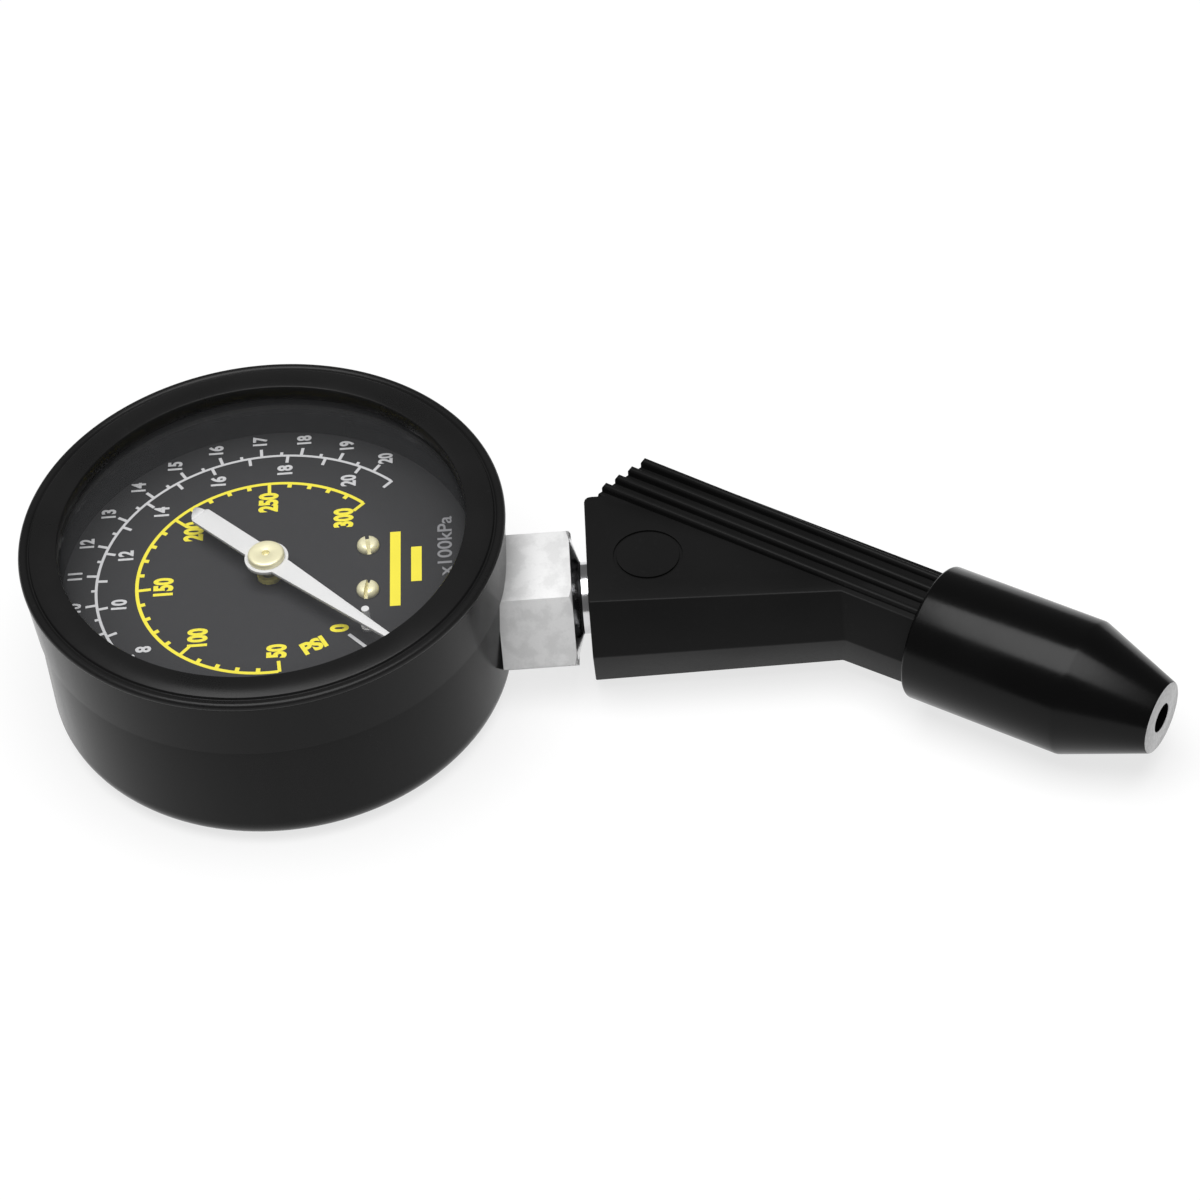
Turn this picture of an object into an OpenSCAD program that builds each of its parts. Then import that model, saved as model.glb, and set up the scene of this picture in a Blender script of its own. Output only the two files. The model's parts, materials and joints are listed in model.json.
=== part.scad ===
// Compression tester gauge: a dial pressure gauge screwed into a bent push-in handle.
// Origin: centre of the gauge's back face. +Z points out of the dial, +X along the stem.
// Units: millimetres.

/* [Case] */
// Outer diameter of the case wall
case_d = 65.8; // [62:0.2:70]
// Thickness of the case wall
case_wall = 1.8; // [1.4:0.1:2.2]
// Thickness of the case back
case_back = 1.8; // [1.4:0.1:2.6]
// Radius of the edge between wall and back
case_corner_r = 4.5; // [3:0.5:7]
// Depth from the back face to the bezel's face
gauge_depth = 29.3; // [28.5:0.1:33]
// Depth of the raised band below the bezel
case_band_h = 8.2; // [4:0.2:10]
// How far the raised band stands out
case_band_t = 0.2; // [0.1:0.05:0.6]

/* [Bezel and lens] */
// How far the bezel stands out past the case wall
bezel_overhang = 1.3; // [0.6:0.1:2]
// Width of the bezel's face
bezel_face_w = 4.9; // [4:0.1:6]
// Distance of the bezel's groove from its outer edge
bezel_groove_in = 1.7; // [1.4:0.1:2.4]
// Width of the bezel's groove
bezel_groove_w = 0.5; // [0.3:0.1:0.8]
// Thickness of the bezel's flange
bezel_flange_t = 1.9; // [1.4:0.1:2.6]
// Depth from the bezel's face to the lens
lens_drop = 2.9; // [2.4:0.1:3.6]
// Thickness of the lens
lens_t = 1.5; // [1:0.1:2]
// Thickness of the sealing ring under the lens
lens_ring_t = 0.8; // [0.5:0.1:1.4]
// Width of the ledge that carries the sealing ring
ledge_w = 1.2; // [0.8:0.1:1.6]
// Height of the ledge's straight edge
ledge_h = 0.8; // [0.5:0.1:1.5]

/* [Dial and pointer] */
// Depth from the bezel's face to the dial's face
dial_drop = 9.7; // [9.2:0.1:10.4]
// Thickness of the dial
dial_t = 0.6; // [0.4:0.1:1]
// Direction of the pointer at zero, from the stem
pointer_zero = -44.5; // [-60:0.5:-40]
// Length of the needle from the pointer's axis
needle_len = 24.8; // [20:0.2:26]
// Width of the needle beside the hub
needle_w = 3.4; // [2.6:0.1:3.8]
// Width of the needle's tip
needle_tip_w = 0.8; // [0.4:0.1:1.2]
// Length of the tail from the pointer's axis
tail_len = 14.6; // [10:0.2:18]
// Width of the tail's round end
tail_w = 3.1; // [2.4:0.1:4]
// Thickness of the pointer's sheet
pointer_t = 0.5; // [0.3:0.1:0.8]
// Height of the pointer's underside over the dial
pointer_lift = 3.3; // [3:0.1:3.6]
// Diameter of the pointer's ring round its hub
pointer_ring_d = 6.2; // [5.6:0.1:7]
// Diameter of the hub's cap
hub_cap_d = 5.2; // [4.4:0.1:5.6]
// Height of the hub's cap
hub_cap_h = 0.9; // [0.5:0.1:1.1]
// Distance of the dial screws from the dial's centre, towards the stem
dial_screw_x = 14; // [13:0.2:15]
// Distance between the dial screws
dial_screw_gap = 8.8; // [7:0.2:10]
// Diameter of the dial screws' heads
dial_screw_head_d = 3.2; // [2.6:0.1:3.8]

/* [Stem] */
// Height of the stem's axis over the back face
stem_z = 10.7; // [10.2:0.1:11.4]
// Width across the flats of the hexagon
hex_af = 19; // [17:0.5:19]
// Length of the hexagon outside the case wall
hex_len = 9.7; // [7:0.1:12]
// Length of the chamfer on the hexagon's outer corners
hex_chamfer = 0.4; // [0.2:0.1:1]
// How far the hexagon's root lies inside the case wall
hex_sink = 2.4; // [2:0.1:2.6]
// Length of the conical shoulder past the hexagon
shoulder_len = 1.2; // [0.6:0.1:2]
// Outer diameter of the stem's thread
thread_d = 9.7; // [8:0.1:10.4]
// Length of the plain neck between shoulder and handle
thread_gap = 1.1; // [0.5:0.1:4]
// Length of thread inside the handle
thread_engage = 12; // [9:0.5:13]
// Diameter of the air passage
passage_d = 3; // [2:0.1:3.2]

/* [Handle] */
// Distance from the handle's stem end to the bend
handle_reach = 30.4; // [28:0.2:34]
// Angle between the stem and the nozzle
bend_angle = 33.3; // [28:0.5:36]
// Thickness at the stem end
handle_t_stem = 16; // [15:0.2:18]
// Thickness at the nozzle end
handle_t_nozzle = 13.5; // [12.6:0.1:14.4]
// Distance from the stem's axis to the parting edge on the inner side
parting_edge_y = 12; // [11:0.2:14]
// Inward lean of the stem part's flank for each unit of height
stem_flank = 0.4; // [0.2:0.05:0.5]
// Half width of the bar at its parting edge
bar_edge = 7.2; // [6.8:0.1:8]
// Inward lean of the bar's flanks for each unit of height
bar_flank = 0.316; // [0.2:0.02:0.4]
// Length of the bar behind the bend
bar_back_len = 29.3; // [24:0.2:32]
// Length of the bar past the bend
neck_len = 21; // [18:0.2:25]
// Distance from the stem's axis to the shoulder on the outer side
back_shoulder_y = 12.5; // [11.5:0.1:13]
// Radius of the shoulder's corner at the stem end
back_corner_r = 1; // [0.4:0.1:2]
// Skew of the bar's back end from a square cut
bar_end_skew = 18; // [0:1:20]
// Number of grip ribs on each face
rib_count = 4; // [3:1:4]
// Distance between the ribs
rib_pitch = 2.35; // [1.8:0.05:2.6]
// Width of a rib
rib_w = 1.1; // [0.8:0.1:1.4]
// Height of a rib at its back end
rib_h = 1.3; // [0.5:0.05:1.5]
// Height of a rib at the nozzle end
rib_h_neck = 0.7; // [0.1:0.05:0.9]
// Diameter of the round mark on the face
mark_d = 9.9; // [6:0.1:11]
// Width of the mark's groove
mark_groove_w = 0.5; // [0.3:0.1:0.8]
// Depth of the mark's groove
mark_groove_depth = 0.3; // [0.2:0.05:0.5]
// Distance of the mark from the stem end
mark_x = 8.7; // [7:0.1:12]

/* [Nozzle] */
// Outer diameter of the rubber cone's sleeve
cone_d = 19.6; // [18.5:0.1:20.4]
// Length of the sleeve
sleeve_len = 23.2; // [20:0.2:28]
// Length of the tapered end
taper_len = 12.2; // [9:0.2:16]
// Diameter of the tip
tip_d = 10.8; // [9.5:0.1:14]
// Diameter of the hole in the tip
tip_hole_d = 4.4; // [4:0.1:5]
// Length of the hole in the tip
tip_hole_len = 4; // [3:0.1:6]
// Radius of the sleeve's rim
rim_r = 1.2; // [0.5:0.1:2]
// Diameter of the handle's spigot inside the sleeve
spigot_d = 13; // [12:0.1:14]
// Length of the spigot
spigot_len = 9; // [6:0.2:12]
// Outer diameter of the brass tube
tube_d = 8; // [7:0.1:8.6]
// Length of the brass tube inside the bar
tube_hold = 9; // [6:0.2:12]

/* [Check valve] */
// Outer diameter of the valve body
valve_d = 5; // [4.6:0.1:5.4]
// Length of the valve body
valve_len = 8; // [7:0.1:10]
// Diameter of the valve body's bore
valve_bore_d = 3; // [2.8:0.1:3.4]
// Thickness of the valve seat
valve_seat_t = 1; // [0.6:0.1:1.5]
// Diameter of the valve stem
valve_stem_d = 1; // [0.8:0.1:1.2]
// How far the valve stem stands out of its seat
valve_stem_out = 1.5; // [1.2:0.1:2]
// Thickness of the valve disc
valve_disc_t = 0.9; // [0.6:0.1:1.2]
// Thickness of the spring's wire
valve_wire_d = 0.25; // [0.2:0.05:0.3]
// Number of turns of the valve spring
valve_turns = 5; // [4:1:7]

/* [Bourdon tube] */
// Radius of the tube's bend, at its middle
tube_bend_r = 22; // [21.5:0.1:22.6]
// Height of the flattened tube
tube_h = 6; // [5:0.1:6.2]
// Thickness of the flattened tube
tube_w = 2.4; // [2:0.1:2.8]
// Wall of the flattened tube
tube_wall = 0.4; // [0.3:0.05:0.6]
// Direction of the tube's free end
tube_tip_angle = 60; // [56:1:66]
// Direction of the tube's held end
tube_root_angle = 342; // [338:1:344]

/* [Movement] */
// Module of the gear teeth
gear_module = 0.35; // [0.3:0.01:0.37]
// Teeth on the pinion
pinion_teeth = 12; // [12:1:14]
// Teeth that the sector would have on a full circle
sector_teeth = 72; // [60:1:72]
// Turn of the sector over the whole scale
sector_sweep = 45; // [35:1:50]
// Thickness of the sector
sector_t = 0.8; // [0.6:0.1:0.9]
// Distance from the sector's axis to the link's pin
sector_arm = 5; // [4:0.1:6]
// Direction of the arm at rest
sector_arm_angle = -50; // [-60:1:-45]
// Length of the link between its pins
link_len = 8.5; // [8:0.1:9]
// Thickness of the link
link_t = 0.5; // [0.4:0.1:0.6]
// Thickness of the base plate
base_plate_t = 1; // [0.8:0.1:1.2]
// Thickness of the top plate
top_plate_t = 0.8; // [0.6:0.1:1]
// Distance between the plates
plate_gap = 2.6; // [2.5:0.1:3]
// Room between the top plate and the dial
dial_room = 0.7; // [0.6:0.1:1]
// Diameter of the arbors
arbor_d = 1.8; // [1.5:0.1:2]
// Diameter of the arbors' pivots
pivot_d = 1.2; // [1:0.1:1.4]
// Turns of the hairspring
hair_turns = 3; // [2:1:4]

/* [Fits] */
// Running clearance of pivots and pins, on the radius
run_clear = 0.04; // [0.02:0.01:0.08]
// Clearance between fixed round pieces, on the radius
fit_clear = 0.05; // [0.03:0.01:0.1]
// Clearance between the gear flanks, on each tooth
gear_clear = 0.025; // [0.02:0.005:0.04]
// Gap between pieces that pass each other
pass_gap = 0.3; // [0.2:0.05:0.4]

/* [Hidden] */
$fn = 64;
eps = 0.01;

// Levels of the gauge
case_r = case_d / 2;
bezel_r = case_r + bezel_overhang;
bezel_lip_r = bezel_r - bezel_face_w;
case_front = gauge_depth - bezel_flange_t;
case_bore_r = case_r - case_wall;
lens_top = gauge_depth - lens_drop;
lens_bottom = lens_top - lens_t;
ledge_top = lens_bottom - lens_ring_t;
ledge_r = case_bore_r - ledge_w;
lens_r = case_bore_r - fit_clear;
dial_face = gauge_depth - dial_drop;
dial_back = dial_face - dial_t;
dial_r = ledge_r - pass_gap;
dial_hole_r = 3.1;

// Levels of the movement
top_plate_z = dial_back - dial_room - top_plate_t;
base_plate_top = top_plate_z - plate_gap;
base_plate_z = base_plate_top - base_plate_t;
end_play = 0.1;
sector_lift = 0.5;
sector_z = base_plate_top + sector_lift;
link_gap = 0.2;
link_z = sector_z + sector_t + link_gap;
hair_drop = 0.75;
hair_z = top_plate_z - hair_drop;
hair_h = 0.45;

// Gear geometry: the sector turns about a point beside the pinion
pinion_r = gear_module * pinion_teeth / 2;
sector_r = gear_module * sector_teeth / 2;
sector_pos = [0, pinion_r + sector_r];
pressure_angle = 25;
sector_tooth_step = 360 / sector_teeth;
sector_mesh_angle = -90;
sector_spare_teeth = 2;
sector_first_tooth = -ceil(sector_sweep / sector_tooth_step) - sector_spare_teeth;
arm_end = sector_pos + sector_arm * [cos(sector_arm_angle), sin(sector_arm_angle)];
arm_end_far = sector_pos
  + sector_arm * [cos(sector_arm_angle + sector_sweep), sin(sector_arm_angle + sector_sweep)];
link_dir = (arm_end_far - arm_end) / norm(arm_end_far - arm_end);
tip_pivot = arm_end + link_len * link_dir;
link_pin_d = 1;
hub_sleeve_t = 0.6;
link_eye_d = 2.4;

// Posts and screws
screw_d = 2.5;
pillar_d = 2.6;
plate_screw_d = 1.4;
plate_screw_head_d = 2.4;
plate_screw_head_h = 0.5;
pillar_pos = [[-7.5, sector_pos[1] + 2.3], [4.2, -5.6], [-7.5, -3.5]];
tongue_w = 9.2;
tongue_end = [6.6, -2.5];
mount_screw_out = 1.3;
mount_screw_half_gap = 2.5;
mount_screw_pos = [for (y = [-1, 1]) tongue_end + [mount_screw_out, y * mount_screw_half_gap]];
mount_screw_head_r = 1.9;
mount_screw_grip = 3;
mount_screw_head_h = 1;
case_screw_pos = [[12, -5], [12, 5]];
case_boss_r = 3;
case_screw_head_r = 2.4;
case_screw_head_h = 1.3;
case_screw_sink = 0.2;
case_screw_depth = 10.5;
case_screw_hole = 5.5;
dial_screw_grip = 4;
hole_spare = 1;
dial_screw_head_h = 1;
dial_post_r = 2.2;
plate_arm_w = 5;

// Levels along the stem, measured from the gauge's axis
hex_x = case_r - hex_sink;
hex_r = hex_af / 2 / cos(30);
shoulder_x = case_r + hex_len;
thread_x = shoulder_x + shoulder_len;
handle_x = thread_x + thread_gap;
thread_end = handle_x + thread_engage;
bend_x = handle_x + handle_reach;
hex_turn = 13;
stem_neck_r = 7;
shoulder_d = 0.94 * hex_af;
neck_d = thread_d + 0.6;
block_x0 = 5;
block_x1 = 27;
block_half_w = 8;
block_z0 = stem_z - tube_h / 2 - 0.5;
tube_root = tube_bend_r * [cos(tube_root_angle), sin(tube_root_angle)];
tube_feed_d = 1.4;

// Handle
insert_r = 6.2;
insert_recess = 1;
washer_t = 1;
section_h = 10;
t_slope = (handle_t_stem - handle_t_nozzle) / 2 / (handle_reach + neck_len * cos(bend_angle));
t_angle = atan(t_slope);
function half_t(x) = handle_t_stem / 2 - t_slope * x;
function plan(t, u) = [handle_reach + t * cos(bend_angle) + u * sin(bend_angle),
  -t * sin(bend_angle) + u * cos(bend_angle)];
rib_top_back = half_t(plan(-bar_back_len, 0)[0]) + rib_h;
rib_top_neck = handle_t_nozzle / 2 + rib_h_neck;
rib_run = bar_back_len + neck_len;
rib_lean = atan((rib_top_back - rib_top_neck) / rib_run);

// Levels along the nozzle, measured from the bend
sleeve_t = neck_len;
taper_t = sleeve_t + sleeve_len;
tip_t = taper_t + taper_len;
tube_t0 = neck_len - tube_hold;
tube_t1 = tip_t - tip_hole_len;
valve_sink = 0.5;
valve_play = 0.05;
valve_t1 = tube_t1 - valve_sink;
valve_t0 = valve_t1 - valve_len;
valve_retainer_t = 0.8;
disc_t1 = valve_t1 - valve_seat_t - valve_play;
disc_t0 = disc_t1 - valve_disc_t;
spring_t0 = valve_t0 + valve_retainer_t + valve_play;
spring_r = valve_bore_d / 2 - valve_wire_d / 2 - 0.1;

// Places a child along the stem's axis, x from the gauge's axis
module along_stem(x) {
  translate([x, 0, stem_z]) rotate([90, 0, 90]) children();
}

// Places a child along the nozzle's axis, t from the bend
module along_nozzle(t) {
  translate([bend_x, 0, stem_z]) rotate([0, 0, -bend_angle]) rotate([90, 0, 90])
    translate([0, 0, t]) children();
}

// Square with two round corners on its outer side, for turned profiles
module rounded_rim(r0, r1, z0, z1, corner) {
  translate([r0, z0]) square([r1 - r0 - corner, z1 - z0]);
  translate([r0, z0 + corner]) square([r1 - r0, z1 - z0 - 2 * corner]);
  for (z = [z0 + corner, z1 - corner]) translate([r1 - corner, z]) circle(corner);
}

// Flat bar with round ends between two points
module flat_arm(p, q, w) {
  d = q - p;
  translate(p) rotate(atan2(d[1], d[0])) translate([0, -w / 2]) square([norm(d), w]);
  translate(p) circle(d = w);
  translate(q) circle(d = w);
}

// Outline of a flat arm: the far end has clipped corners, the near end is square
function arm_outline(p, q, w) = let (d = q - p, a = atan2(d[1], d[0]))
  concat([for (b = [-90:30:90]) q + w / 2 * [cos(a + b), sin(a + b)]],
    [for (b = [90, -90]) p + w / 2 * [cos(a + b), sin(a + b)]]);

// Ring as a plain washer
module ring(r0, r1, h) {
  difference() {
    cylinder(r = r1, h = h);
    translate([0, 0, -eps]) cylinder(r = r0, h = h + 2 * eps);
  }
}

// Cup profile with a rounded lower edge
module cup_profile(r, h, corner) {
  square([r - corner, h]);
  translate([0, corner]) square([r, h - corner]);
  translate([r - corner, corner]) circle(corner);
}

module case_profile() {
  difference() {
    union() {
      intersection() {
        cup_profile(case_r, case_front, case_corner_r);
        square([case_r, case_front]);
      }
      translate([case_r - case_wall, case_front - case_band_h])
        square([case_wall + case_band_t, case_band_h - pass_gap]);
    }
    difference() {
      translate([0, case_back])
        intersection() {
          cup_profile(case_bore_r, case_front, case_corner_r - case_wall);
          square([case_bore_r, case_front]);
        }
      polygon([[ledge_r, ledge_top], [ledge_r, ledge_top - ledge_h],
        [case_bore_r, ledge_top - ledge_h - ledge_w], [case_r, ledge_top - ledge_h - ledge_w],
        [case_r, ledge_top]]);
    }
  }
}

module case() {
  color("#1b1b1d")
    difference() {
      union() {
        rotate_extrude($fn = 96) case_profile();
        for (p = case_screw_pos) translate([p[0], p[1], case_back - eps])
          cylinder(r = case_boss_r, h = block_z0 - case_back + eps);
      }
      along_stem(block_x1) cylinder(r = stem_neck_r + fit_clear, h = case_r - block_x1 + 1);
      along_stem(hex_x - fit_clear) rotate(hex_turn)
        cylinder(r = hex_r + fit_clear / cos(30), h = hex_sink + hex_len, $fn = 6);
      for (p = case_screw_pos) translate([p[0], p[1], -eps]) {
        cylinder(r = screw_d / 2 + fit_clear, h = block_z0 + 2 * eps);
        cylinder(r = case_screw_head_r + fit_clear, h = case_screw_head_h + case_screw_sink + eps);
      }
    }
}

module bezel() {
  edge = 0.9;
  lip_bevel = 0.7;
  color("#1d1d1f")
    rotate_extrude($fn = 96)
      difference() {
        union() {
          rounded_rim(bezel_lip_r, bezel_r, case_front, gauge_depth, min(edge, bezel_flange_t / 2));
          translate([bezel_lip_r, lens_top])
            square([case_bore_r - fit_clear - bezel_lip_r, case_front - lens_top + eps]);
        }
        translate([bezel_lip_r, gauge_depth]) rotate(45) square(lip_bevel, center = true);
        translate([bezel_r - bezel_groove_in, gauge_depth]) rotate(45) square(bezel_groove_w, center = true);
      }
}

module lens() {
  color([0.85, 0.9, 0.92, 0.3])
    translate([0, 0, lens_bottom]) cylinder(r = lens_r, h = lens_t, $fn = 96);
}

module lens_ring() {
  color("#2a2a2a") translate([0, 0, ledge_top]) ring(ledge_r, lens_r, lens_ring_t);
}

module dial() {
  color("#26262a")
    difference() {
      translate([0, 0, dial_back]) cylinder(r = dial_r, h = dial_t, $fn = 96);
      translate([0, 0, dial_back - eps]) cylinder(r = dial_hole_r, h = dial_t + 2 * eps);
      for (y = [-1, 1]) translate([dial_screw_x, y * dial_screw_gap / 2, dial_back - eps])
        cylinder(r = screw_d / 2 + fit_clear, h = dial_t + 2 * eps);
    }
}

// Cheese-head screw with a driver slot, head seat at z = 0, shank downwards
module slotted_screw(shank_d, shank_len, head_r, head_h) {
  difference() {
    union() {
      cylinder(r = head_r, h = head_h);
      translate([0, 0, -shank_len]) cylinder(d = shank_d, h = shank_len + eps);
    }
    translate([-head_r - 1, -head_r * 0.16, head_h * 0.5]) cube([2 * head_r + 2, head_r * 0.32, head_h]);
  }
}

module dial_screws() {
  color("#d9cf9a")
    for (y = [-1, 1]) translate([dial_screw_x, y * dial_screw_gap / 2, dial_face])
      rotate(35 * y)
        slotted_screw(screw_d, dial_t + dial_screw_grip, dial_screw_head_d / 2, dial_screw_head_h);
}

module stop_pin() {
  pin_r = 0.55;
  pin_at = 18.2;
  needle_half = (needle_w + (needle_tip_w - needle_w) * pin_at / needle_len) / 2;
  turn = pointer_zero + asin((needle_half + pin_r + pass_gap) / pin_at);
  color("#e8e6dc")
    rotate(turn) translate([pin_at, 0, dial_face]) {
      cylinder(r = pin_r, h = pointer_lift + pointer_t);
      cylinder(r = pin_r + 0.35, h = 0.4);
    }
}

// One turned and milled piece: block, hexagon, conical shoulder, neck and thread
module socket() {
  over_r = hex_r + 1;
  chamfer_r = hex_r - hex_chamfer / tan(30);
  cone_h = hex_chamfer + tan(30);
  cone_x = shoulder_x - cone_h;
  color("#cfd0cf")
    difference() {
      union() {
        translate([block_x0, -block_half_w, block_z0])
          cube([block_x1 - block_x0, 2 * block_half_w, base_plate_z - block_z0]);
        along_stem(block_x1 - 1) cylinder(r = stem_neck_r, h = hex_x - block_x1 + 1 + eps);
        intersection() {
          along_stem(hex_x) rotate(hex_turn) cylinder(r = hex_r, h = shoulder_x - hex_x, $fn = 6);
          union() {
            along_stem(hex_x - eps) cylinder(r = over_r, h = cone_x - hex_x + 2 * eps);
            along_stem(cone_x) cylinder(r1 = over_r, r2 = chamfer_r, h = cone_h);
          }
        }
        along_stem(shoulder_x - eps) cylinder(d1 = shoulder_d, d2 = neck_d, h = shoulder_len + eps);
        along_stem(thread_x - eps) cylinder(d = neck_d, h = thread_gap);
        along_stem(thread_x - eps) cylinder(d = thread_d, h = thread_end - thread_x + eps);
        for (y = [-1, 1]) translate([dial_screw_x, y * dial_screw_gap / 2, base_plate_z - 1])
          cylinder(r = dial_post_r, h = dial_back - base_plate_z + 1);
      }
      along_stem(dial_screw_x) cylinder(d = passage_d, h = thread_end);
      translate([tube_root[0], tube_root[1] - 0.3, stem_z]) rotate([-90, 0, 0])
        cylinder(d = tube_feed_d, h = -tube_root[1] + 0.3);
      bourdon_shape(tube_h + 2 * fit_clear, tube_w + 2 * fit_clear, -fit_clear);
      for (y = [-1, 1])
        translate([dial_screw_x, y * dial_screw_gap / 2, dial_back - dial_screw_grip - hole_spare])
          cylinder(r = screw_d / 2 + fit_clear, h = dial_screw_grip + 2 * hole_spare);
      for (p = case_screw_pos) translate([p[0], p[1], block_z0 - eps])
        cylinder(r = screw_d / 2 + fit_clear, h = case_screw_hole);
      for (p = mount_screw_pos) translate([p[0], p[1], base_plate_z - mount_screw_grip - hole_spare])
        cylinder(r = screw_d / 2 + fit_clear, h = mount_screw_grip + 2 * hole_spare);
    }
}

module case_screws() {
  color("#b9bab8")
    for (p = case_screw_pos) translate([p[0], p[1], case_screw_head_h + case_screw_sink])
      rotate([180, 0, 20])
      slotted_screw(screw_d, case_screw_depth - case_screw_head_h, case_screw_head_r, case_screw_head_h);
}

// Flattened tube section swept round the movement
module bourdon_section(h, w) {
  translate([-w / 2, -h / 2 + w / 2]) square([w, h - w]);
  for (s = [-1, 1]) translate([0, s * (h / 2 - w / 2)]) circle(d = w);
}

module bourdon_shape(h, w, root_extra) {
  translate([0, 0, stem_z]) rotate(tube_tip_angle)
    rotate_extrude(angle = tube_root_angle - tube_tip_angle - root_extra / tube_bend_r * 57.3, $fn = 96)
      translate([tube_bend_r, 0]) bourdon_section(h, w);
}

module bourdon_tube() {
  color("#c9a24a")
    difference() {
      bourdon_shape(tube_h, tube_w, 0);
      bourdon_shape(tube_h - 2 * tube_wall, tube_w - 2 * tube_wall, -1);
    }
}

// End piece soldered over the tube's free end, with an ear that carries the link's pivot
module tube_tip() {
  cap_w = tube_w + 1.6;
  cap_h = tube_h + 1.2;
  cap_len = 4;
  ear_t = 1;
  ear_z = link_z - link_gap - ear_t;
  root = tube_bend_r * [cos(tube_tip_angle - 3), sin(tube_tip_angle - 3)];
  color("#b8923f")
    difference() {
      union() {
        translate([0, 0, stem_z]) rotate(tube_tip_angle)
          translate([tube_bend_r - cap_w / 2, -cap_len + 1, -cap_h / 2])
            cube([cap_w, cap_len, ear_z + ear_t / 2 - stem_z + cap_h / 2]);
        translate([0, 0, ear_z]) linear_extrude(ear_t) flat_arm(tip_pivot, root, 3.2);
      }
      bourdon_shape(tube_h + 2 * fit_clear, tube_w + 2 * fit_clear, 0);
      translate([tip_pivot[0], tip_pivot[1], ear_z - eps])
        cylinder(d = link_pin_d + 2 * run_clear, h = ear_t + 2 * eps);
    }
}

module plate_outline() {
  polygon(arm_outline([0, -plate_arm_w * 0.7], sector_pos, plate_arm_w * 1.2));
  polygon(arm_outline(sector_pos, pillar_pos[0], plate_arm_w));
  polygon(arm_outline([0, 0], pillar_pos[1], plate_arm_w));
  polygon(arm_outline([0, 0], pillar_pos[2], plate_arm_w));
}

module base_plate() {
  color("#c7a75a")
    translate([0, 0, base_plate_z])
      difference() {
        linear_extrude(base_plate_t) {
          plate_outline();
          polygon(arm_outline([0, tongue_end[1]], tongue_end, tongue_w));
        }
        translate([0, 0, -eps]) {
          cylinder(d = pivot_d + 2 * run_clear, h = base_plate_t + 1);
          translate(sector_pos) cylinder(d = pivot_d + 2 * run_clear, h = base_plate_t + 1);
          for (p = mount_screw_pos) translate(p) cylinder(r = screw_d / 2 + fit_clear, h = base_plate_t + 1);
        }
      }
}

module top_plate() {
  color("#c7a75a")
    translate([0, 0, top_plate_z])
      difference() {
        linear_extrude(top_plate_t) plate_outline();
        translate([0, 0, -eps]) {
          cylinder(d = arbor_d + 2 * run_clear, h = top_plate_t + 1);
          translate(sector_pos) cylinder(d = pivot_d + 2 * run_clear, h = top_plate_t + 1);
          for (p = pillar_pos) translate(p)
            cylinder(d = plate_screw_d + 2 * fit_clear, h = top_plate_t + 1);
        }
      }
}

module pillars() {
  color("#c3a052")
    for (p = pillar_pos) translate([p[0], p[1], base_plate_top])
      difference() {
        cylinder(d = pillar_d, h = plate_gap);
        translate([0, 0, plate_gap - 2]) cylinder(d = plate_screw_d + 2 * fit_clear, h = 2 + eps);
      }
}

module plate_screws() {
  color("#bfbfba")
    for (p = pillar_pos) translate([p[0], p[1], top_plate_z + top_plate_t])
      slotted_screw(plate_screw_d, top_plate_t + 1.6, plate_screw_head_d / 2, plate_screw_head_h);
}

module mounting_screws() {
  color("#bfbfba")
    for (p = mount_screw_pos) translate([p[0], p[1], base_plate_top])
      slotted_screw(screw_d, base_plate_t + mount_screw_grip, mount_screw_head_r, mount_screw_head_h);
}

module center_bush() {
  bush_r = 2.4;
  color("#c9a24a")
    translate([0, 0, top_plate_z + top_plate_t])
      ring(arbor_d / 2 + run_clear, bush_r, dial_face - top_plate_z - top_plate_t + 1.2);
}

// Flat spiral from the pinion's collar to a stud on the top plate
module hairspring() {
  r0 = 1.5;
  r1 = 4.4;
  strip = 0.12;
  steps = 24 * hair_turns;
  function spiral(r_add) = [for (i = [0:steps])
    (r0 + r_add + (r1 - r0) * i / steps) * [cos(i * 15), sin(i * 15)]];
  inner = spiral(0);
  outer = spiral(strip);
  color("#8f8f92") rotate(90) {
    translate([0, 0, hair_z]) linear_extrude(hair_h)
      polygon(concat(inner, [for (i = [steps:-1:0]) outer[i]]));
    translate([r1 + strip / 2, 0, hair_z]) cylinder(r = 0.4, h = top_plate_z - hair_z);
  }
}

// Outline of one gear tooth, centred on the x axis
function involute_turn(rb, r) = let (a = acos(rb / r)) tan(a) * 180 / PI - a;
function tooth_half(r, rp, rb, teeth) = 90 / teeth - gear_clear / rp * 180 / PI
  + involute_turn(rb, rp) - involute_turn(rb, max(r, rb));
function tooth_outline(rp, teeth, add, ded) = let (
    rb = rp * cos(pressure_angle), rf = rp - ded, ra = rp + add, n = 4,
    flank = [for (i = [0:n]) max(rb, rf) + (ra - max(rb, rf)) * i / n],
    radii = rf < rb ? concat([rf], flank) : flank, last = len(radii) - 1)
  concat([for (r = radii) [r, -tooth_half(r, rp, rb, teeth)]],
    [for (i = [last:-1:0]) [radii[i], tooth_half(radii[i], rp, rb, teeth)]]);
function polar_points(list, turn) = [for (p = list) p[0] * [cos(p[1] + turn), sin(p[1] + turn)]];
tooth_add = 0.85 * gear_module;
tooth_ded = 1.2 * gear_module;

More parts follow.
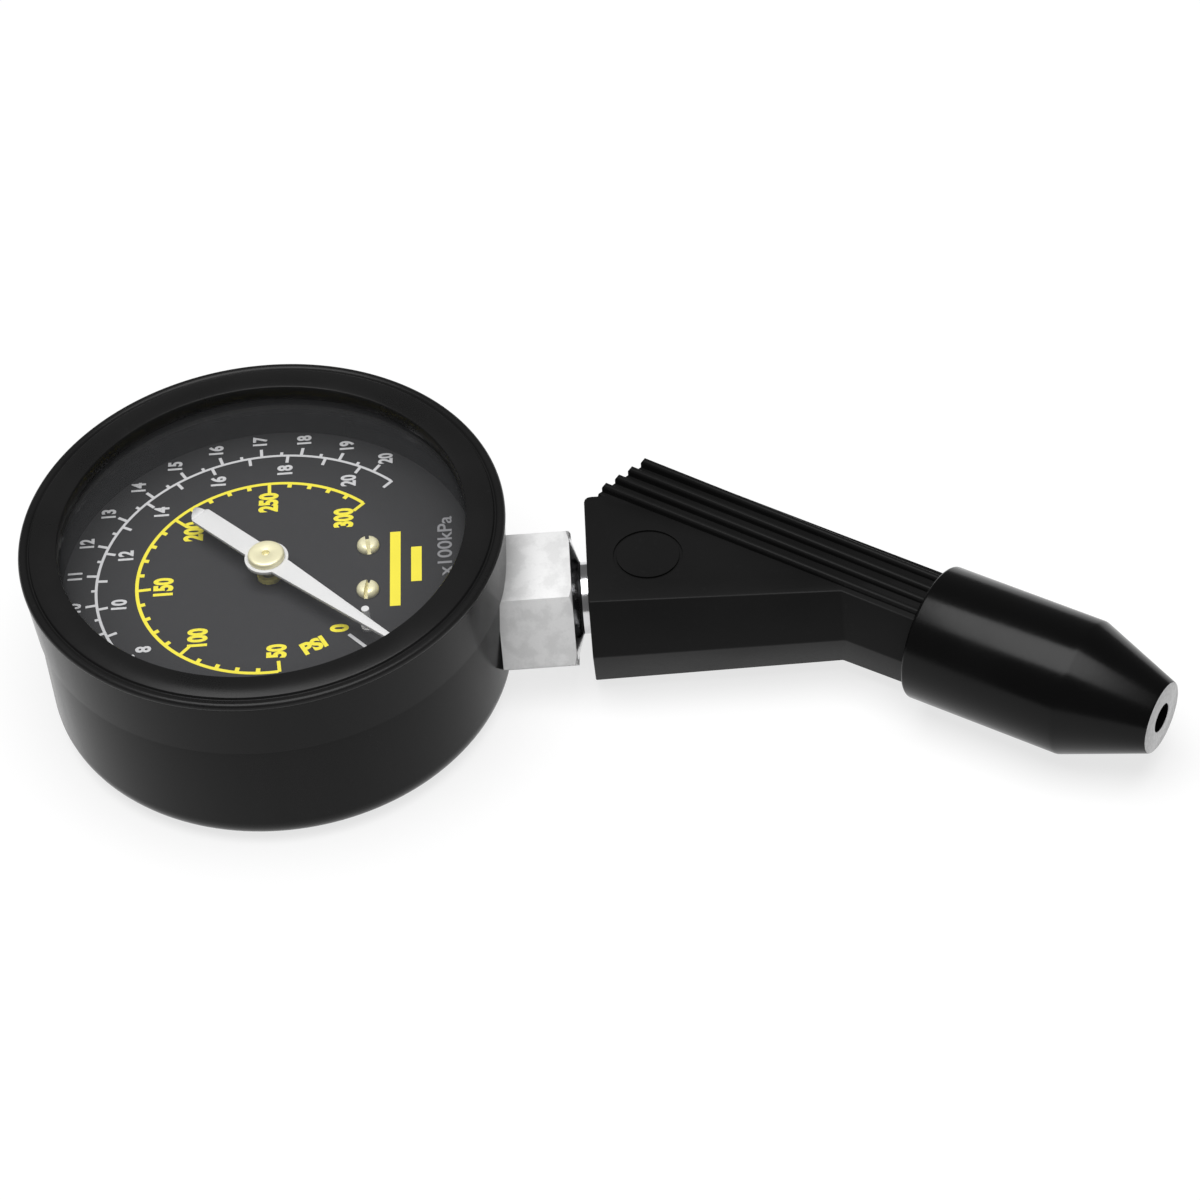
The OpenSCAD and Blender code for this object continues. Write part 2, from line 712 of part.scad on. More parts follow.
module pinion_shaft() {
  tooth = tooth_outline(pinion_r, pinion_teeth, tooth_add, tooth_ded);
  step = 360 / pinion_teeth;
  space_turn = sector_mesh_angle + 180 + step / 2;
  foot = base_plate_z + end_play;
  color("#b9b9b4") {
    translate([0, 0, sector_z - link_gap]) linear_extrude(sector_t + 2 * link_gap)
      polygon([for (k = [0:pinion_teeth - 1]) each polar_points(tooth, space_turn + k * step)]);
    translate([0, 0, foot]) cylinder(d = pivot_d, h = base_plate_t + eps);
    translate([0, 0, base_plate_top + end_play])
      cylinder(d = arbor_d, h = dial_face + pointer_lift + pointer_t - base_plate_top - end_play);
    translate([0, 0, hair_z]) cylinder(r = 1.35, h = hair_h);
  }
}

module sector_gear() {
  tooth = tooth_outline(sector_r, sector_teeth, tooth_add, tooth_ded);
  rim_r0 = sector_r - tooth_ded - 1.6;
  first = sector_mesh_angle + sector_first_tooth * sector_tooth_step;
  last = sector_mesh_angle + sector_spare_teeth * sector_tooth_step;
  teeth = [for (k = [sector_first_tooth:sector_spare_teeth])
    each polar_points(tooth, sector_mesh_angle + k * sector_tooth_step)];
  rim_steps = 16;
  rim = [for (i = [rim_steps:-1:0])
    rim_r0 * [cos(first + (last - first) * i / rim_steps), sin(first + (last - first) * i / rim_steps)]];
  middle = (first + last) / 2;
  color("#c8a552")
    translate([sector_pos[0], sector_pos[1], sector_z])
      difference() {
        linear_extrude(sector_t) {
          polygon(concat(teeth, rim));
          for (a = [first + 6, last - 6])
            rotate(a) translate([0, -1.1]) square([rim_r0 + 0.8, 2.2]);
          polygon(arm_outline([0, 0], arm_end - sector_pos, 2.4));
          circle(r = 2.2);
        }
        translate([0, 0, -eps]) cylinder(d = arbor_d + 2 * fit_clear, h = sector_t + 1);
        translate([arm_end[0] - sector_pos[0], arm_end[1] - sector_pos[1], -eps])
          cylinder(d = link_pin_d + 2 * run_clear, h = sector_t + 1);
      }
}

module sector_shaft() {
  collar_r = 1.6;
  color("#b9b9b4")
    translate([sector_pos[0], sector_pos[1], 0]) {
      translate([0, 0, base_plate_z + end_play]) cylinder(d = pivot_d, h = base_plate_t + eps);
      translate([0, 0, base_plate_top + end_play]) cylinder(d = arbor_d, h = plate_gap - 2 * end_play);
      translate([0, 0, top_plate_z - end_play - eps]) cylinder(d = pivot_d, h = top_plate_t);
      translate([0, 0, base_plate_top + end_play]) cylinder(r = collar_r, h = sector_lift - end_play);
    }
}

module link() {
  color("#c9b27a")
    translate([0, 0, link_z])
      difference() {
        linear_extrude(link_t) {
          flat_arm(arm_end, tip_pivot, 1.4);
          translate(arm_end) circle(d = link_eye_d);
          translate(tip_pivot) circle(d = link_eye_d);
        }
        for (p = [arm_end, tip_pivot]) translate([p[0], p[1], -eps])
          cylinder(d = link_pin_d + 2 * fit_clear, h = link_t + 1);
      }
}

// Shouldered pins riveted in the link: one runs in the sector's arm, one sits over the tube's ear
module link_pins() {
  head_t = 0.3;
  head_r = 0.85;
  color("#a9a9a4") {
    translate([arm_end[0], arm_end[1], 0]) {
      translate([0, 0, sector_z - link_gap])
        cylinder(d = link_pin_d, h = sector_t + 2 * link_gap + link_t + head_t);
      translate([0, 0, link_z + link_t]) cylinder(r = head_r, h = head_t);
    }
    translate([tip_pivot[0], tip_pivot[1], 0]) {
      translate([0, 0, link_z - link_gap / 4]) cylinder(d = link_pin_d, h = link_t + head_t + link_gap / 4);
      translate([0, 0, link_z + link_t]) cylinder(r = head_r, h = head_t);
    }
  }
}

module pointer() {
  z = dial_face + pointer_lift;
  color("#f4f4f2")
    translate([0, 0, z]) rotate(pointer_zero)
      difference() {
        linear_extrude(pointer_t) {
          polygon([[0, -needle_w / 2], [needle_len, -needle_tip_w / 2], [needle_len, needle_tip_w / 2],
            [0, needle_w / 2]]);
          flat_arm([0, 0], [-tail_len + tail_w / 2, 0], tail_w);
          circle(d = pointer_ring_d);
        }
        translate([0, 0, -eps]) cylinder(r = arbor_d / 2 + hub_sleeve_t + fit_clear, h = pointer_t + 1);
      }
}

// Turned hub: a sleeve through the pointer and a cap over it, pressed on the shaft
module pointer_hub() {
  z = dial_face + pointer_lift;
  sleeve_r = arbor_d / 2 + hub_sleeve_t;
  drop = 1.2;
  dimple = 0.2;
  color("#e6dfae")
    translate([0, 0, z])
      difference() {
        union() {
          translate([0, 0, -drop]) cylinder(r = sleeve_r, h = drop + pointer_t + 0.1);
          translate([0, 0, -drop]) cylinder(r = sleeve_r + hub_sleeve_t, h = drop - fit_clear);
          translate([0, 0, pointer_t + 0.02]) {
            cylinder(d = hub_cap_d, h = hub_cap_h * 0.6);
            translate([0, 0, hub_cap_h * 0.6])
              cylinder(d1 = hub_cap_d, d2 = hub_cap_d - 0.8, h = hub_cap_h * 0.4);
          }
        }
        translate([0, 0, -drop - 1])
          cylinder(d = arbor_d + 2 * fit_clear, h = drop + 1 + pointer_t + fit_clear);
        translate([0, 0, pointer_t + hub_cap_h - dimple]) cylinder(d = arbor_d / 2, h = 1);
      }
}

// Section of the stem part: flat faces and a flank that leans in from the parting edge
module stem_section() {
  lean = stem_flank * section_h;
  polygon([[-parting_edge_y, 0], [-parting_edge_y + lean, section_h], [0, section_h],
    [0, -section_h], [-parting_edge_y + lean, -section_h]]);
}

// Section of the bar: a flattened hexagon with its parting edges on both sides
module bar_section() {
  lean = bar_flank * section_h;
  polygon([[-bar_edge, 0], [-bar_edge + lean, section_h], [bar_edge - lean, section_h],
    [bar_edge, 0], [bar_edge - lean, -section_h], [-bar_edge + lean, -section_h]]);
}

// Grip ribs along the bar, lower towards the nozzle, each starting on the skewed end
module grip_ribs() {
  for (side = [0, 1], i = [0:rib_count - 1])
    let (u = (i - (rib_count - 1) / 2) * rib_pitch, back = u * tan(bar_end_skew))
      translate([bend_x, 0, stem_z]) rotate([0, 0, -bend_angle]) mirror([0, 0, side])
        translate([-bar_back_len, u, rib_top_back]) rotate([0, rib_lean, 0]) translate([back, 0, 0])
          rotate([90, 0, 90]) linear_extrude(rib_run - back) {
            translate([-rib_w / 2, -3]) square([rib_w, 3 - rib_w / 2]);
            translate([0, -rib_w / 2]) circle(d = rib_w, $fn = 24);
          }
}

module handle_body() {
  corner_mid = [back_corner_r, back_shoulder_y - back_corner_r];
  corner = [for (a = [180:-30:90]) corner_mid + back_corner_r * [cos(a), sin(a)]];
  web = concat([[0, -1]], corner, [[handle_reach - back_shoulder_y / tan(bend_angle), back_shoulder_y],
    [handle_reach, 0], [handle_reach, -1]]);
  stem_part_len = plan((parting_edge_y - bar_edge * cos(bend_angle)) / sin(bend_angle), -bar_edge)[0] + 2;
  long = handle_reach + neck_len + 10;
  intersection() {
    union() {
      along_stem(handle_x) linear_extrude(stem_part_len) stem_section();
      difference() {
        along_nozzle(-bar_back_len - 4) linear_extrude(bar_back_len + 4 + neck_len) bar_section();
        translate([bend_x, 0, stem_z]) rotate([0, 0, -bend_angle]) translate([-bar_back_len, 0, 0])
          rotate([0, 0, -bar_end_skew]) translate([-40, -40, -20]) cube([40, 80, 40]);
      }
      translate([handle_x, 0, stem_z - section_h]) linear_extrude(2 * section_h) polygon(web);
    }
    translate([handle_x, 0, stem_z]) rotate([90, 0, 0]) linear_extrude(120, center = true)
      polygon([[0, -half_t(0)], [long, -half_t(long)], [long, half_t(long)], [0, half_t(0)]]);
  }
}

module handle() {
  insert_len = thread_engage + washer_t + 0.1;
  color("#232325")
    difference() {
      union() {
        handle_body();
        grip_ribs();
        along_nozzle(neck_len - 1) cylinder(d = spigot_d, h = spigot_len + 1);
      }
      along_stem(handle_x - 1) cylinder(r = insert_r + fit_clear, h = insert_len + 1);
      along_stem(handle_x) cylinder(d = passage_d, h = handle_reach + passage_d / 2);
      along_nozzle(0) cylinder(d = passage_d, h = neck_len);
      along_nozzle(tube_t0) cylinder(d = tube_d + 2 * fit_clear, h = tube_hold + spigot_len + 1);
      translate([handle_x + mark_x, 0, stem_z + half_t(mark_x)]) rotate([0, t_angle, 0])
        translate([0, 0, -mark_groove_depth]) ring(mark_d / 2 - mark_groove_w, mark_d / 2, 2);
    }
}

module thread_insert() {
  len = thread_engage + washer_t - insert_recess;
  color("#c9a24a")
    along_stem(handle_x + insert_recess)
      difference() {
        cylinder(r = insert_r, h = len);
        translate([0, 0, -eps]) cylinder(d = thread_d + 2 * fit_clear, h = len + 2 * eps);
        for (k = [1, 2]) translate([0, 0, k * len / 3 - 0.5]) ring(insert_r - 0.5, insert_r + 1, 1);
      }
}

module seal_washer() {
  color("#9c5a34") along_stem(thread_end) ring(passage_d / 2, thread_d / 2, washer_t);
}

module nozzle_tube() {
  color("#c9a24a")
    along_nozzle(tube_t0)
      difference() {
        cylinder(d = tube_d, h = tube_t1 - tube_t0);
        translate([0, 0, -eps]) cylinder(d = passage_d, h = tube_t1 - tube_t0 + 1);
        translate([0, 0, valve_t0 - tube_t0])
          cylinder(d = valve_d + 2 * fit_clear, h = tube_t1 - valve_t0 + 1);
      }
}

// Rubber cone turned about the nozzle's axis: rim, sleeve, taper and tip hole
module rubber_cone() {
  len = tip_t - sleeve_t;
  lip = 0.5;
  color("#1a1a1c")
    along_nozzle(sleeve_t)
      rotate_extrude($fn = 96)
        difference() {
          union() {
            intersection() {
              union() {
                translate([0, rim_r]) square([cone_d / 2, sleeve_len - rim_r]);
                square([cone_d / 2 - rim_r, sleeve_len]);
                translate([cone_d / 2 - rim_r, rim_r]) circle(rim_r);
              }
              square([cone_d, sleeve_len]);
            }
            polygon([[0, sleeve_len - eps], [cone_d / 2, sleeve_len - eps], [tip_d / 2, len - lip],
              [tip_d / 2 - lip, len], [0, len]]);
          }
          translate([-1, -1]) square([spigot_d / 2 + fit_clear + 1, spigot_len + 1.2]);
          translate([-1, -1]) square([tube_d / 2 + fit_clear + 1, tube_t1 - sleeve_t + 1]);
          translate([-1, -1]) square([tip_hole_d / 2 + 1, len + 2]);
        }
}

module valve_body() {
  color("#c9a24a")
    along_nozzle(valve_t0)
      difference() {
        cylinder(d = valve_d, h = valve_len);
        translate([0, 0, -eps]) cylinder(d = valve_bore_d, h = valve_len - valve_seat_t);
        translate([0, 0, -eps]) cylinder(d = valve_stem_d + 0.6, h = valve_len + 1);
      }
}

module valve_retainer() {
  color("#c9a24a")
    along_nozzle(valve_t0)
      difference() {
        cylinder(d = valve_bore_d - 2 * fit_clear, h = valve_retainer_t);
        translate([0, 0, -eps]) cylinder(d = valve_stem_d + 2 * run_clear, h = 2);
        for (a = [0:120:240]) rotate(a) translate([valve_bore_d / 2, 0, -eps])
          cylinder(d = valve_stem_d * 0.7, h = 2);
      }
}

// Helical wire from the retainer to the valve disc
module valve_spring() {
  sides = 6;
  ring_steps = 12 * valve_turns;
  len = disc_t0 - valve_play - valve_wire_d - spring_t0;
  wire_r = valve_wire_d / 2;
  points = [for (i = [0:ring_steps], k = [0:sides - 1])
    let (a = i * 30, b = k * 360 / sides, r = spring_r + wire_r * cos(b))
    [r * cos(a), r * sin(a), wire_r + len * i / ring_steps + wire_r * sin(b)]];
  walls = [for (i = [0:ring_steps - 1], k = [0:sides - 1])
    let (n = (k + 1) % sides)
    [i * sides + k, (i + 1) * sides + k, (i + 1) * sides + n, i * sides + n]];
  caps = [[for (k = [0:sides - 1]) k], [for (k = [sides - 1:-1:0]) ring_steps * sides + k]];
  color("#b0b0ac") along_nozzle(spring_t0) polyhedron(points, concat(walls, caps));
}

module valve_pin() {
  stem_t0 = valve_t0 + 0.2;
  color("#c4a862")
    along_nozzle(0) {
      translate([0, 0, stem_t0]) cylinder(d = valve_stem_d, h = valve_t1 + valve_stem_out - stem_t0);
      translate([0, 0, disc_t0]) cylinder(d = valve_bore_d - 0.5, h = valve_disc_t);
    }
}

case();
bezel();
lens();
lens_ring();
dial();
dial_screws();
stop_pin();
socket();
case_screws();
bourdon_tube();
tube_tip();
base_plate();
top_plate();
pillars();
plate_screws();
mounting_screws();
center_bush();
hairspring();
pointer();
pointer_hub();
pinion_shaft();
sector_gear();
sector_shaft();
link();
link_pins();
handle();
thread_insert();
seal_washer();
nozzle_tube();
rubber_cone();
valve_body();
valve_retainer();
valve_spring();
valve_pin();
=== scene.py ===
# %% [markdown]
# # A compression tester gauge
# The real object is a dial gauge screwed into a bent plastic grip, with a rubber cone that is pushed
# into a spark plug hole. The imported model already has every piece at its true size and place. This
# lesson dresses it: the pieces that the eye meets first are modelled again with soft edges and fine
# detail, and every piece gets a finish made from nodes. Lengths are in millimetres, and `MM` turns them
# into Blender's metres.

# %% Load the frame
import json
import math
import bpy
from mathutils import Matrix, Vector


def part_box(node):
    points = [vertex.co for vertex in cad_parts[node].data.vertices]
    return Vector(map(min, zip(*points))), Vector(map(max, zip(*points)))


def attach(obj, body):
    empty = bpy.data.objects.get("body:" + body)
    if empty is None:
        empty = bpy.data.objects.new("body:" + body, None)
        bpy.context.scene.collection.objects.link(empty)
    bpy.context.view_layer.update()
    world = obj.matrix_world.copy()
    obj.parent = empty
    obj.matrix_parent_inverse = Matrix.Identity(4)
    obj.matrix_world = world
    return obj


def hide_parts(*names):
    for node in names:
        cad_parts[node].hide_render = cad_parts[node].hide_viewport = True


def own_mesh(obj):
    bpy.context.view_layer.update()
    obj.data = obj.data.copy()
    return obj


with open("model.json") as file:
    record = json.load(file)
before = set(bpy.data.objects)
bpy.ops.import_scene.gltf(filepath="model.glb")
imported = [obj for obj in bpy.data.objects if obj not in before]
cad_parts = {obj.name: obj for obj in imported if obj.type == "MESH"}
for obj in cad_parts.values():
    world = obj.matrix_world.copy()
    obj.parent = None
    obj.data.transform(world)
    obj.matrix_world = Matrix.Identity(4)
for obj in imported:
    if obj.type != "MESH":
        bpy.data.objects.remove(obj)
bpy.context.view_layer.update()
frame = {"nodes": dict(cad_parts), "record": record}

MM = 0.001

# %% [markdown]
# ## The view
# The photograph looks down at the dial from the near side at about 45 degrees, through a long lens,
# with the camera rolled a little. Three directions describe it: forward, right and down. Building the
# camera's matrix from them is more exact than turning the camera by angles.

# %% Camera
CAMERA_AT = (59.7, -401.4, 417.5)
FORWARD = (-0.0235, 0.7016, -0.7122)
ROLL = math.radians(5.44)
LENS_MM = 120
SENSOR_MM = 36

forward = Vector(FORWARD).normalized()
level_right = forward.cross(Vector((0, 0, 1))).normalized()
level_down = forward.cross(level_right).normalized()
right = level_right * math.cos(ROLL) + level_down * math.sin(ROLL)
down = level_down * math.cos(ROLL) - level_right * math.sin(ROLL)

lens_data = bpy.data.cameras.new("view")
lens_data.lens = LENS_MM
lens_data.sensor_width = SENSOR_MM
camera = bpy.data.objects.new("view", lens_data)
turn = Matrix((right, -down, -forward)).transposed().to_4x4()
camera.matrix_world = Matrix.Translation(Vector(CAMERA_AT) * MM) @ turn
bpy.context.scene.collection.objects.link(camera)
bpy.context.scene.camera = camera
bpy.context.scene.view_settings.view_transform = "Standard"
print("camera looks along", tuple(round(v, 3) for v in forward))

# %% [markdown]
# ## Writing shaders as sums
# A finish is a graph of nodes. Wiring each link by hand is long to read, so a small class wraps an
# output socket and lets ordinary arithmetic add the Math nodes. The reflected forms let a plain number
# stand on the left.

# %% Socket arithmetic
class Value:
    def __init__(self, finish, socket):
        self.finish = finish
        self.socket = socket

    def math(self, operation, first, second):
        return self.finish.node("Math", {"operation": operation}, {0: first, 1: second})

    def __add__(self, other):
        return self.math("ADD", self, other)

    def __sub__(self, other):
        return self.math("SUBTRACT", self, other)

    def __rsub__(self, other):
        return self.math("SUBTRACT", other, self)

    def __mul__(self, other):
        return self.math("MULTIPLY", self, other)

    def __gt__(self, other):
        return self.math("GREATER_THAN", self, other)

    __radd__ = __add__
    __rmul__ = __mul__


print("socket arithmetic: + - * >")

# %% [markdown]
# ## One material
# `Finish` holds one material. Its method `node` adds any node from its type, its settings and its socket
# values, and the short methods after it name the few nodes that nearly every finish needs. Patterns are
# placed by Object coordinates, so a grain has the same size in millimetres on every piece.

# %% Finish helper
class Finish:
    def __init__(self, name):
        self.material = bpy.data.materials.new(name)
        self.material.use_nodes = True
        self.tree = self.material.node_tree
        self.shader = self.tree.nodes["Principled BSDF"]

    def feed(self, socket, value):
        if isinstance(value, Value):
            self.tree.links.new(value.socket, socket)
        else:
            socket.default_value = value

    def node(self, kind, settings=None, sockets=None, out=0):
        made = self.tree.nodes.new("ShaderNode" + kind)
        for name, value in (settings or {}).items():
            if name == "stops":
                for stop, (place, tone) in zip(made.color_ramp.elements, value):
                    stop.position = place
                    stop.color = (tone, tone, tone, 1)
            else:
                setattr(made, name, value)
        for name, value in (sockets or {}).items():
            self.feed(made.inputs[name], value)
        return Value(self, made.outputs[out])

    def place(self, stretch=(1, 1, 1), shift=(0, 0, 0)):
        spot = self.node("TexCoord", out=3)
        return self.node("Mapping", None, {"Vector": spot, "Scale": stretch, "Location": shift})

    def noise(self, size_mm, detail=3.0, stretch=(1, 1, 1)):
        spot = self.place(stretch)
        return self.node("TexNoise", None, {"Vector": spot, "Scale": 1 / (size_mm * MM), "Detail": detail})

    def ramp(self, value, low, high):
        return self.node("ValToRGB", {"stops": ((low, 0), (high, 1))}, {0: value})

    def blend(self, mask, dark, light):
        return self.node("Mix", {"data_type": "RGBA"}, {0: mask, 6: dark, 7: light}, out=2)

    def bump(self, height, depth_mm, strength=1.0):
        return self.node("Bump", None, {"Height": height, "Strength": strength, "Distance": depth_mm * MM})

    def surface(self, **sockets):
        for name, value in sockets.items():
            title = "Specular IOR Level" if name == "specular" else name.replace("_", " ").title()
            self.feed(self.shader.inputs[title], value)
        return self.material


def grey(tone, tint=(1, 1, 1)):
    return (tone * tint[0], tone * tint[1], tone * tint[2], 1)


print("finish helper ready")

# %% [markdown]
# ## Black enamel, plastic and rubber
# The case and bezel are enamelled black, the grip is black plastic from a spark-eroded mould, and the
# cone is smooth rubber with faint dust. A fine grain breaks up the highlights, and handling leaves
# slightly shinier patches. Each is a dark base with two noises, one fine for the grain and one broad for
# the change of gloss. On the case the broad one is drawn out upwards, like the runs of a dipped coat.
# Black surfaces show mostly what they mirror, so the specular level is kept low: face on they stay dark,
# and only glancing views pick up the white floor. The end of the rubber cone is painted pale, a painted
# reflection of the white floor that its end face mirrors, so its finish measures how far a point lies along
# the nozzle's axis and turns pale past the end of the taper.

# %% Black finishes
STEM_Z = 10.7
BEND_X = 75.3
BEND = math.radians(33.3)
CONE_END = 56.4
PALE_REFLECTION_DEEP = 0.06
PATCH_MM = 14
DUST_MM = 0.7


def on_cone_end(finish):
    from_bend = finish.place(shift=(-BEND_X * MM, 0, -STEM_Z * MM))
    nozzle_axis = (math.cos(BEND), -math.sin(BEND), 0)
    along = finish.node("VectorMath", {"operation": "DOT_PRODUCT"}, {0: from_bend, 1: nozzle_axis}, out=1)
    return along > (CONE_END - PALE_REFLECTION_DEEP) * MM


def black(name, tone, rough, specular, grain_mm, deep_mm, painted_reflection_mask=None, draw=(1, 1, 1)):
    finish = Finish(name)
    grain = finish.noise(grain_mm, 2.0)
    patches = finish.noise(PATCH_MM, 3.0, draw)
    dust = finish.ramp(finish.noise(DUST_MM, 4.0), 0.62, 0.75)
    colour = finish.blend(patches, grey(tone * 0.8), grey(tone * 1.3, (1.0, 0.99, 1.0)))
    colour = finish.blend(dust * 0.25, colour, grey(tone * 2.2))
    # painted reflection: past the taper the cone's end is painted pale grey
    if painted_reflection_mask:
        colour = finish.blend(painted_reflection_mask(finish), colour, finish.blend(grain, grey(0.34), grey(0.62)))
    return finish.surface(
        base_color=colour,
        roughness=rough + (patches - 0.5) * 0.16 + (grain - 0.5) * 0.08,
        specular=specular,
        normal=finish.bump(grain, deep_mm, 0.6))


case_black = black("case_black", tone=0.005, rough=0.22, specular=0.11, grain_mm=0.28, deep_mm=0.008,
                   draw=(3, 3, 0.5))
bezel_black = black("bezel_black", tone=0.009, rough=0.30, specular=0.16, grain_mm=0.22, deep_mm=0.005)
handle_black = black("handle_black", tone=0.006, rough=0.46, specular=0.11, grain_mm=0.32, deep_mm=0.012)
cone_rubber = black("cone_rubber", tone=0.002, rough=0.21, specular=0.17, grain_mm=0.5, deep_mm=0.004,
                    painted_reflection_mask=on_cone_end)
seal_rubber = black("seal_rubber", tone=0.015, rough=0.6, specular=0.2, grain_mm=0.3, deep_mm=0.008)
print("blacks:", [m.name for m in (case_black, bezel_black, handle_black, cone_rubber, seal_rubber)])

# %% [markdown]
# ## Metals
# The movement is brass and steel with fine tool marks. A metal is a coloured mirror, so its look comes
# mainly from roughness, and noise that is stretched along one axis gives the tool marks. The hexagon is
# plated: pale and satin, with soft blotches of a duller grey, because the plating follows a forged and
# tumbled bar. A full mirror would show the dark room there, so only part of it is metallic.

# %% Metals
TOOL_MARKS = (6, 1, 1)


def metal(name, colour, metallic=1.0, rough=0.34, spot_mm=0.8, spread=0.3, stretch=TOOL_MARKS, deep_mm=0.01):
    finish = Finish(name)
    spots = finish.noise(spot_mm, 5.0, stretch)
    fine = finish.noise(spot_mm * 0.17, 2.0, stretch)
    dull = tuple(c * (1 - 0.5 * spread) for c in colour[:3]) + (1,)
    return finish.surface(
        metallic=metallic,
        base_color=finish.blend(spots, dull, colour),
        roughness=rough + (spots - 0.5) * spread + (fine - 0.5) * 0.1,
        normal=finish.bump(spots + fine * 0.4, deep_mm, 0.5))


def plating(name, bright, blotch, metallic, rough, spot_mm, deep_mm):
    finish = Finish(name)
    spots = finish.noise(spot_mm, 4.0)
    blotches = finish.ramp(spots, 0.44, 0.58)
    fine = finish.noise(0.3, 2.0)
    return finish.surface(
        metallic=metallic,
        base_color=finish.blend(blotches * 0.7 + fine * 0.3, bright, blotch),
        roughness=rough + (fine - 0.5) * 0.2,
        normal=finish.bump(spots + fine * 0.4, deep_mm, 0.5))


plated_metal = plating("plated_metal", grey(0.71), grey(0.60), metallic=0.25, rough=0.62, spot_mm=2.4,
                       deep_mm=0.014)
turned_metal = metal("turned_metal", (0.66, 0.66, 0.67, 1), rough=0.16, spot_mm=0.9, spread=0.06,
                     deep_mm=0.003)
brass = metal("brass", (0.80, 0.60, 0.27, 1), rough=0.32, stretch=(1, 1, 6))
steel = metal("steel", (0.62, 0.62, 0.61, 1))
# painted shade: the thread insert is near black, for the shade in the gap at the grip's end
insert_painted_shade = metal("insert_painted_shade", (0.03, 0.03, 0.032, 1), metallic=0.6, rough=0.45)
lacquered = {"spot_mm": 0.9, "spread": 0.2, "stretch": (1, 5, 1), "deep_mm": 0.008}
cream_brass = metal("cream_brass", (0.92, 0.87, 0.58, 1), metallic=0.35, rough=0.42, **lacquered)
# painted light: the bush is paler and less metallic than brass, so it reads as lit below the hub's shadow
bush_painted_light = metal("bush_painted_light", (0.98, 0.88, 0.26, 1), metallic=0.1, rough=0.40, **lacquered)
print("metals:", [m.name for m in (plated_metal, turned_metal, brass, steel, insert_painted_shade, cream_brass,
                                   bush_painted_light)])

# %% [markdown]
# ## Paint, print and window
# The dial is sprayed dark grey with a faint orange peel, its figures are screen printed, and the pointer
# is painted white. The dial's colour is painted darker towards its edge, a painted shade for the bezel's
# shadow, which the distance from the dial's middle gives. The window is clear, and what it mirrors is painted
# over the dial as an even grey veil, a painted reflection. Real refraction would leave the dial in the dark,
# because light that bends through glass is hard to trace, so the window is nearly transparent instead, and
# its small opaque share is the veil.

# %% Paint, print and window
DIAL_EDGE_R = 33
CLOUD_MM = 9


def paint(name, colour, rough, peel_mm, deep_mm, specular=0.4):
    finish = Finish(name)
    peel = finish.noise(peel_mm, 3.0)
    cloud = finish.noise(CLOUD_MM, 2.0)
    darker = tuple(c * 0.86 for c in colour[:3]) + (1,)
    return finish.surface(
        base_color=finish.blend(cloud, darker, colour),
        roughness=rough + (peel - 0.5) * 0.2,
        specular=specular,
        normal=finish.bump(peel, deep_mm, 0.4))


def dial_coat(name, middle, edge, rough, peel_mm, deep_mm):
    finish = Finish(name)
    peel = finish.noise(peel_mm, 3.0)
    flat = finish.place(stretch=(1, 1, 0))
    reach = finish.node("VectorMath", {"operation": "LENGTH"}, {0: flat}, out=1)
    # painted shade: the colour darkens from half the dial's radius out to its edge, for the bezel's shadow
    shade = finish.ramp(reach * (1 / (DIAL_EDGE_R * MM)), 0.5, 1.0)
    return finish.surface(
        base_color=finish.blend(shade, middle, edge),
        roughness=rough + (peel - 0.5) * 0.2,
        specular=0.2,
        normal=finish.bump(peel, deep_mm, 0.4))


def window(name, painted_reflection):
    finish = Finish(name)
    dust = finish.ramp(finish.noise(1.2, 5.0), 0.55, 0.8)
    return finish.surface(
        # painted reflection: a pale base at a small opaque share stands in for what the glass mirrors
        base_color=(0.80, 0.81, 0.84, 1),
        roughness=0.05 + dust * 0.1,
        alpha=painted_reflection + dust * 0.003)


# the second colour is the painted shade at the dial's edge
dial_paint_edge_shade = dial_coat("dial_paint_edge_shade", grey(0.029, (1, 1, 1.06)), grey(0.008), 0.62, peel_mm=0.25,
                       deep_mm=0.006)
pointer_paint = paint("pointer_paint", grey(0.70), 0.5, peel_mm=0.2, deep_mm=0.004)
white_ink = paint("white_ink", (0.55, 0.55, 0.56, 1), 0.6, peel_mm=0.15, deep_mm=0.003)
grey_ink = paint("grey_ink", (0.22, 0.22, 0.23, 1), 0.6, peel_mm=0.15, deep_mm=0.003)
yellow_ink = paint("yellow_ink", (0.86, 0.75, 0.04, 1), 0.6, peel_mm=0.15, deep_mm=0.003)
lens_clear = window("lens_clear", painted_reflection=0.014)
print("paints:", [m.name for m in (dial_paint_edge_shade, pointer_paint, white_ink, grey_ink, yellow_ink, lens_clear)])

# %% [markdown]
# ## Dressing the imported nodes
# Every node of the imported model takes a finish, also the movement that the case hides, because the
# part can be taken apart. The record's slot names the finish, and only the insert that carries the
# grip's thread looks different from its slot: it is painted near-black steel, a painted shade for the
# dark gap at the grip's end.

# %% Finishes on the nodes
slot_finish = {
    "case_black": case_black, "clear_lens": lens_clear, "seal_rubber": seal_rubber, "dial_black": dial_paint_edge_shade,
    "pointer_white": pointer_paint, "cream_brass": cream_brass, "plated_metal": plated_metal, "brass": brass,
    "steel": steel, "handle_black": handle_black, "cone_rubber": cone_rubber}
node_slot = {part["node"]: part["material_slot"] for part in frame["record"]["subparts"]}
for node, obj in frame["nodes"].items():
    obj.data.materials.clear()
    obj.data.materials.append(slot_finish[node_slot[node]])
frame["nodes"]["thread_insert"].data.materials[0] = insert_painted_shade
print("nodes dressed:", len(node_slot))

# %% [markdown]
# ## Bench tools: start and choose
# A few short helpers stand for what a hand does in the window: clear the selection, add a primitive, and
# choose points or edges by their place. An operator acts on everything that is selected, so each helper
# clears the selection first.

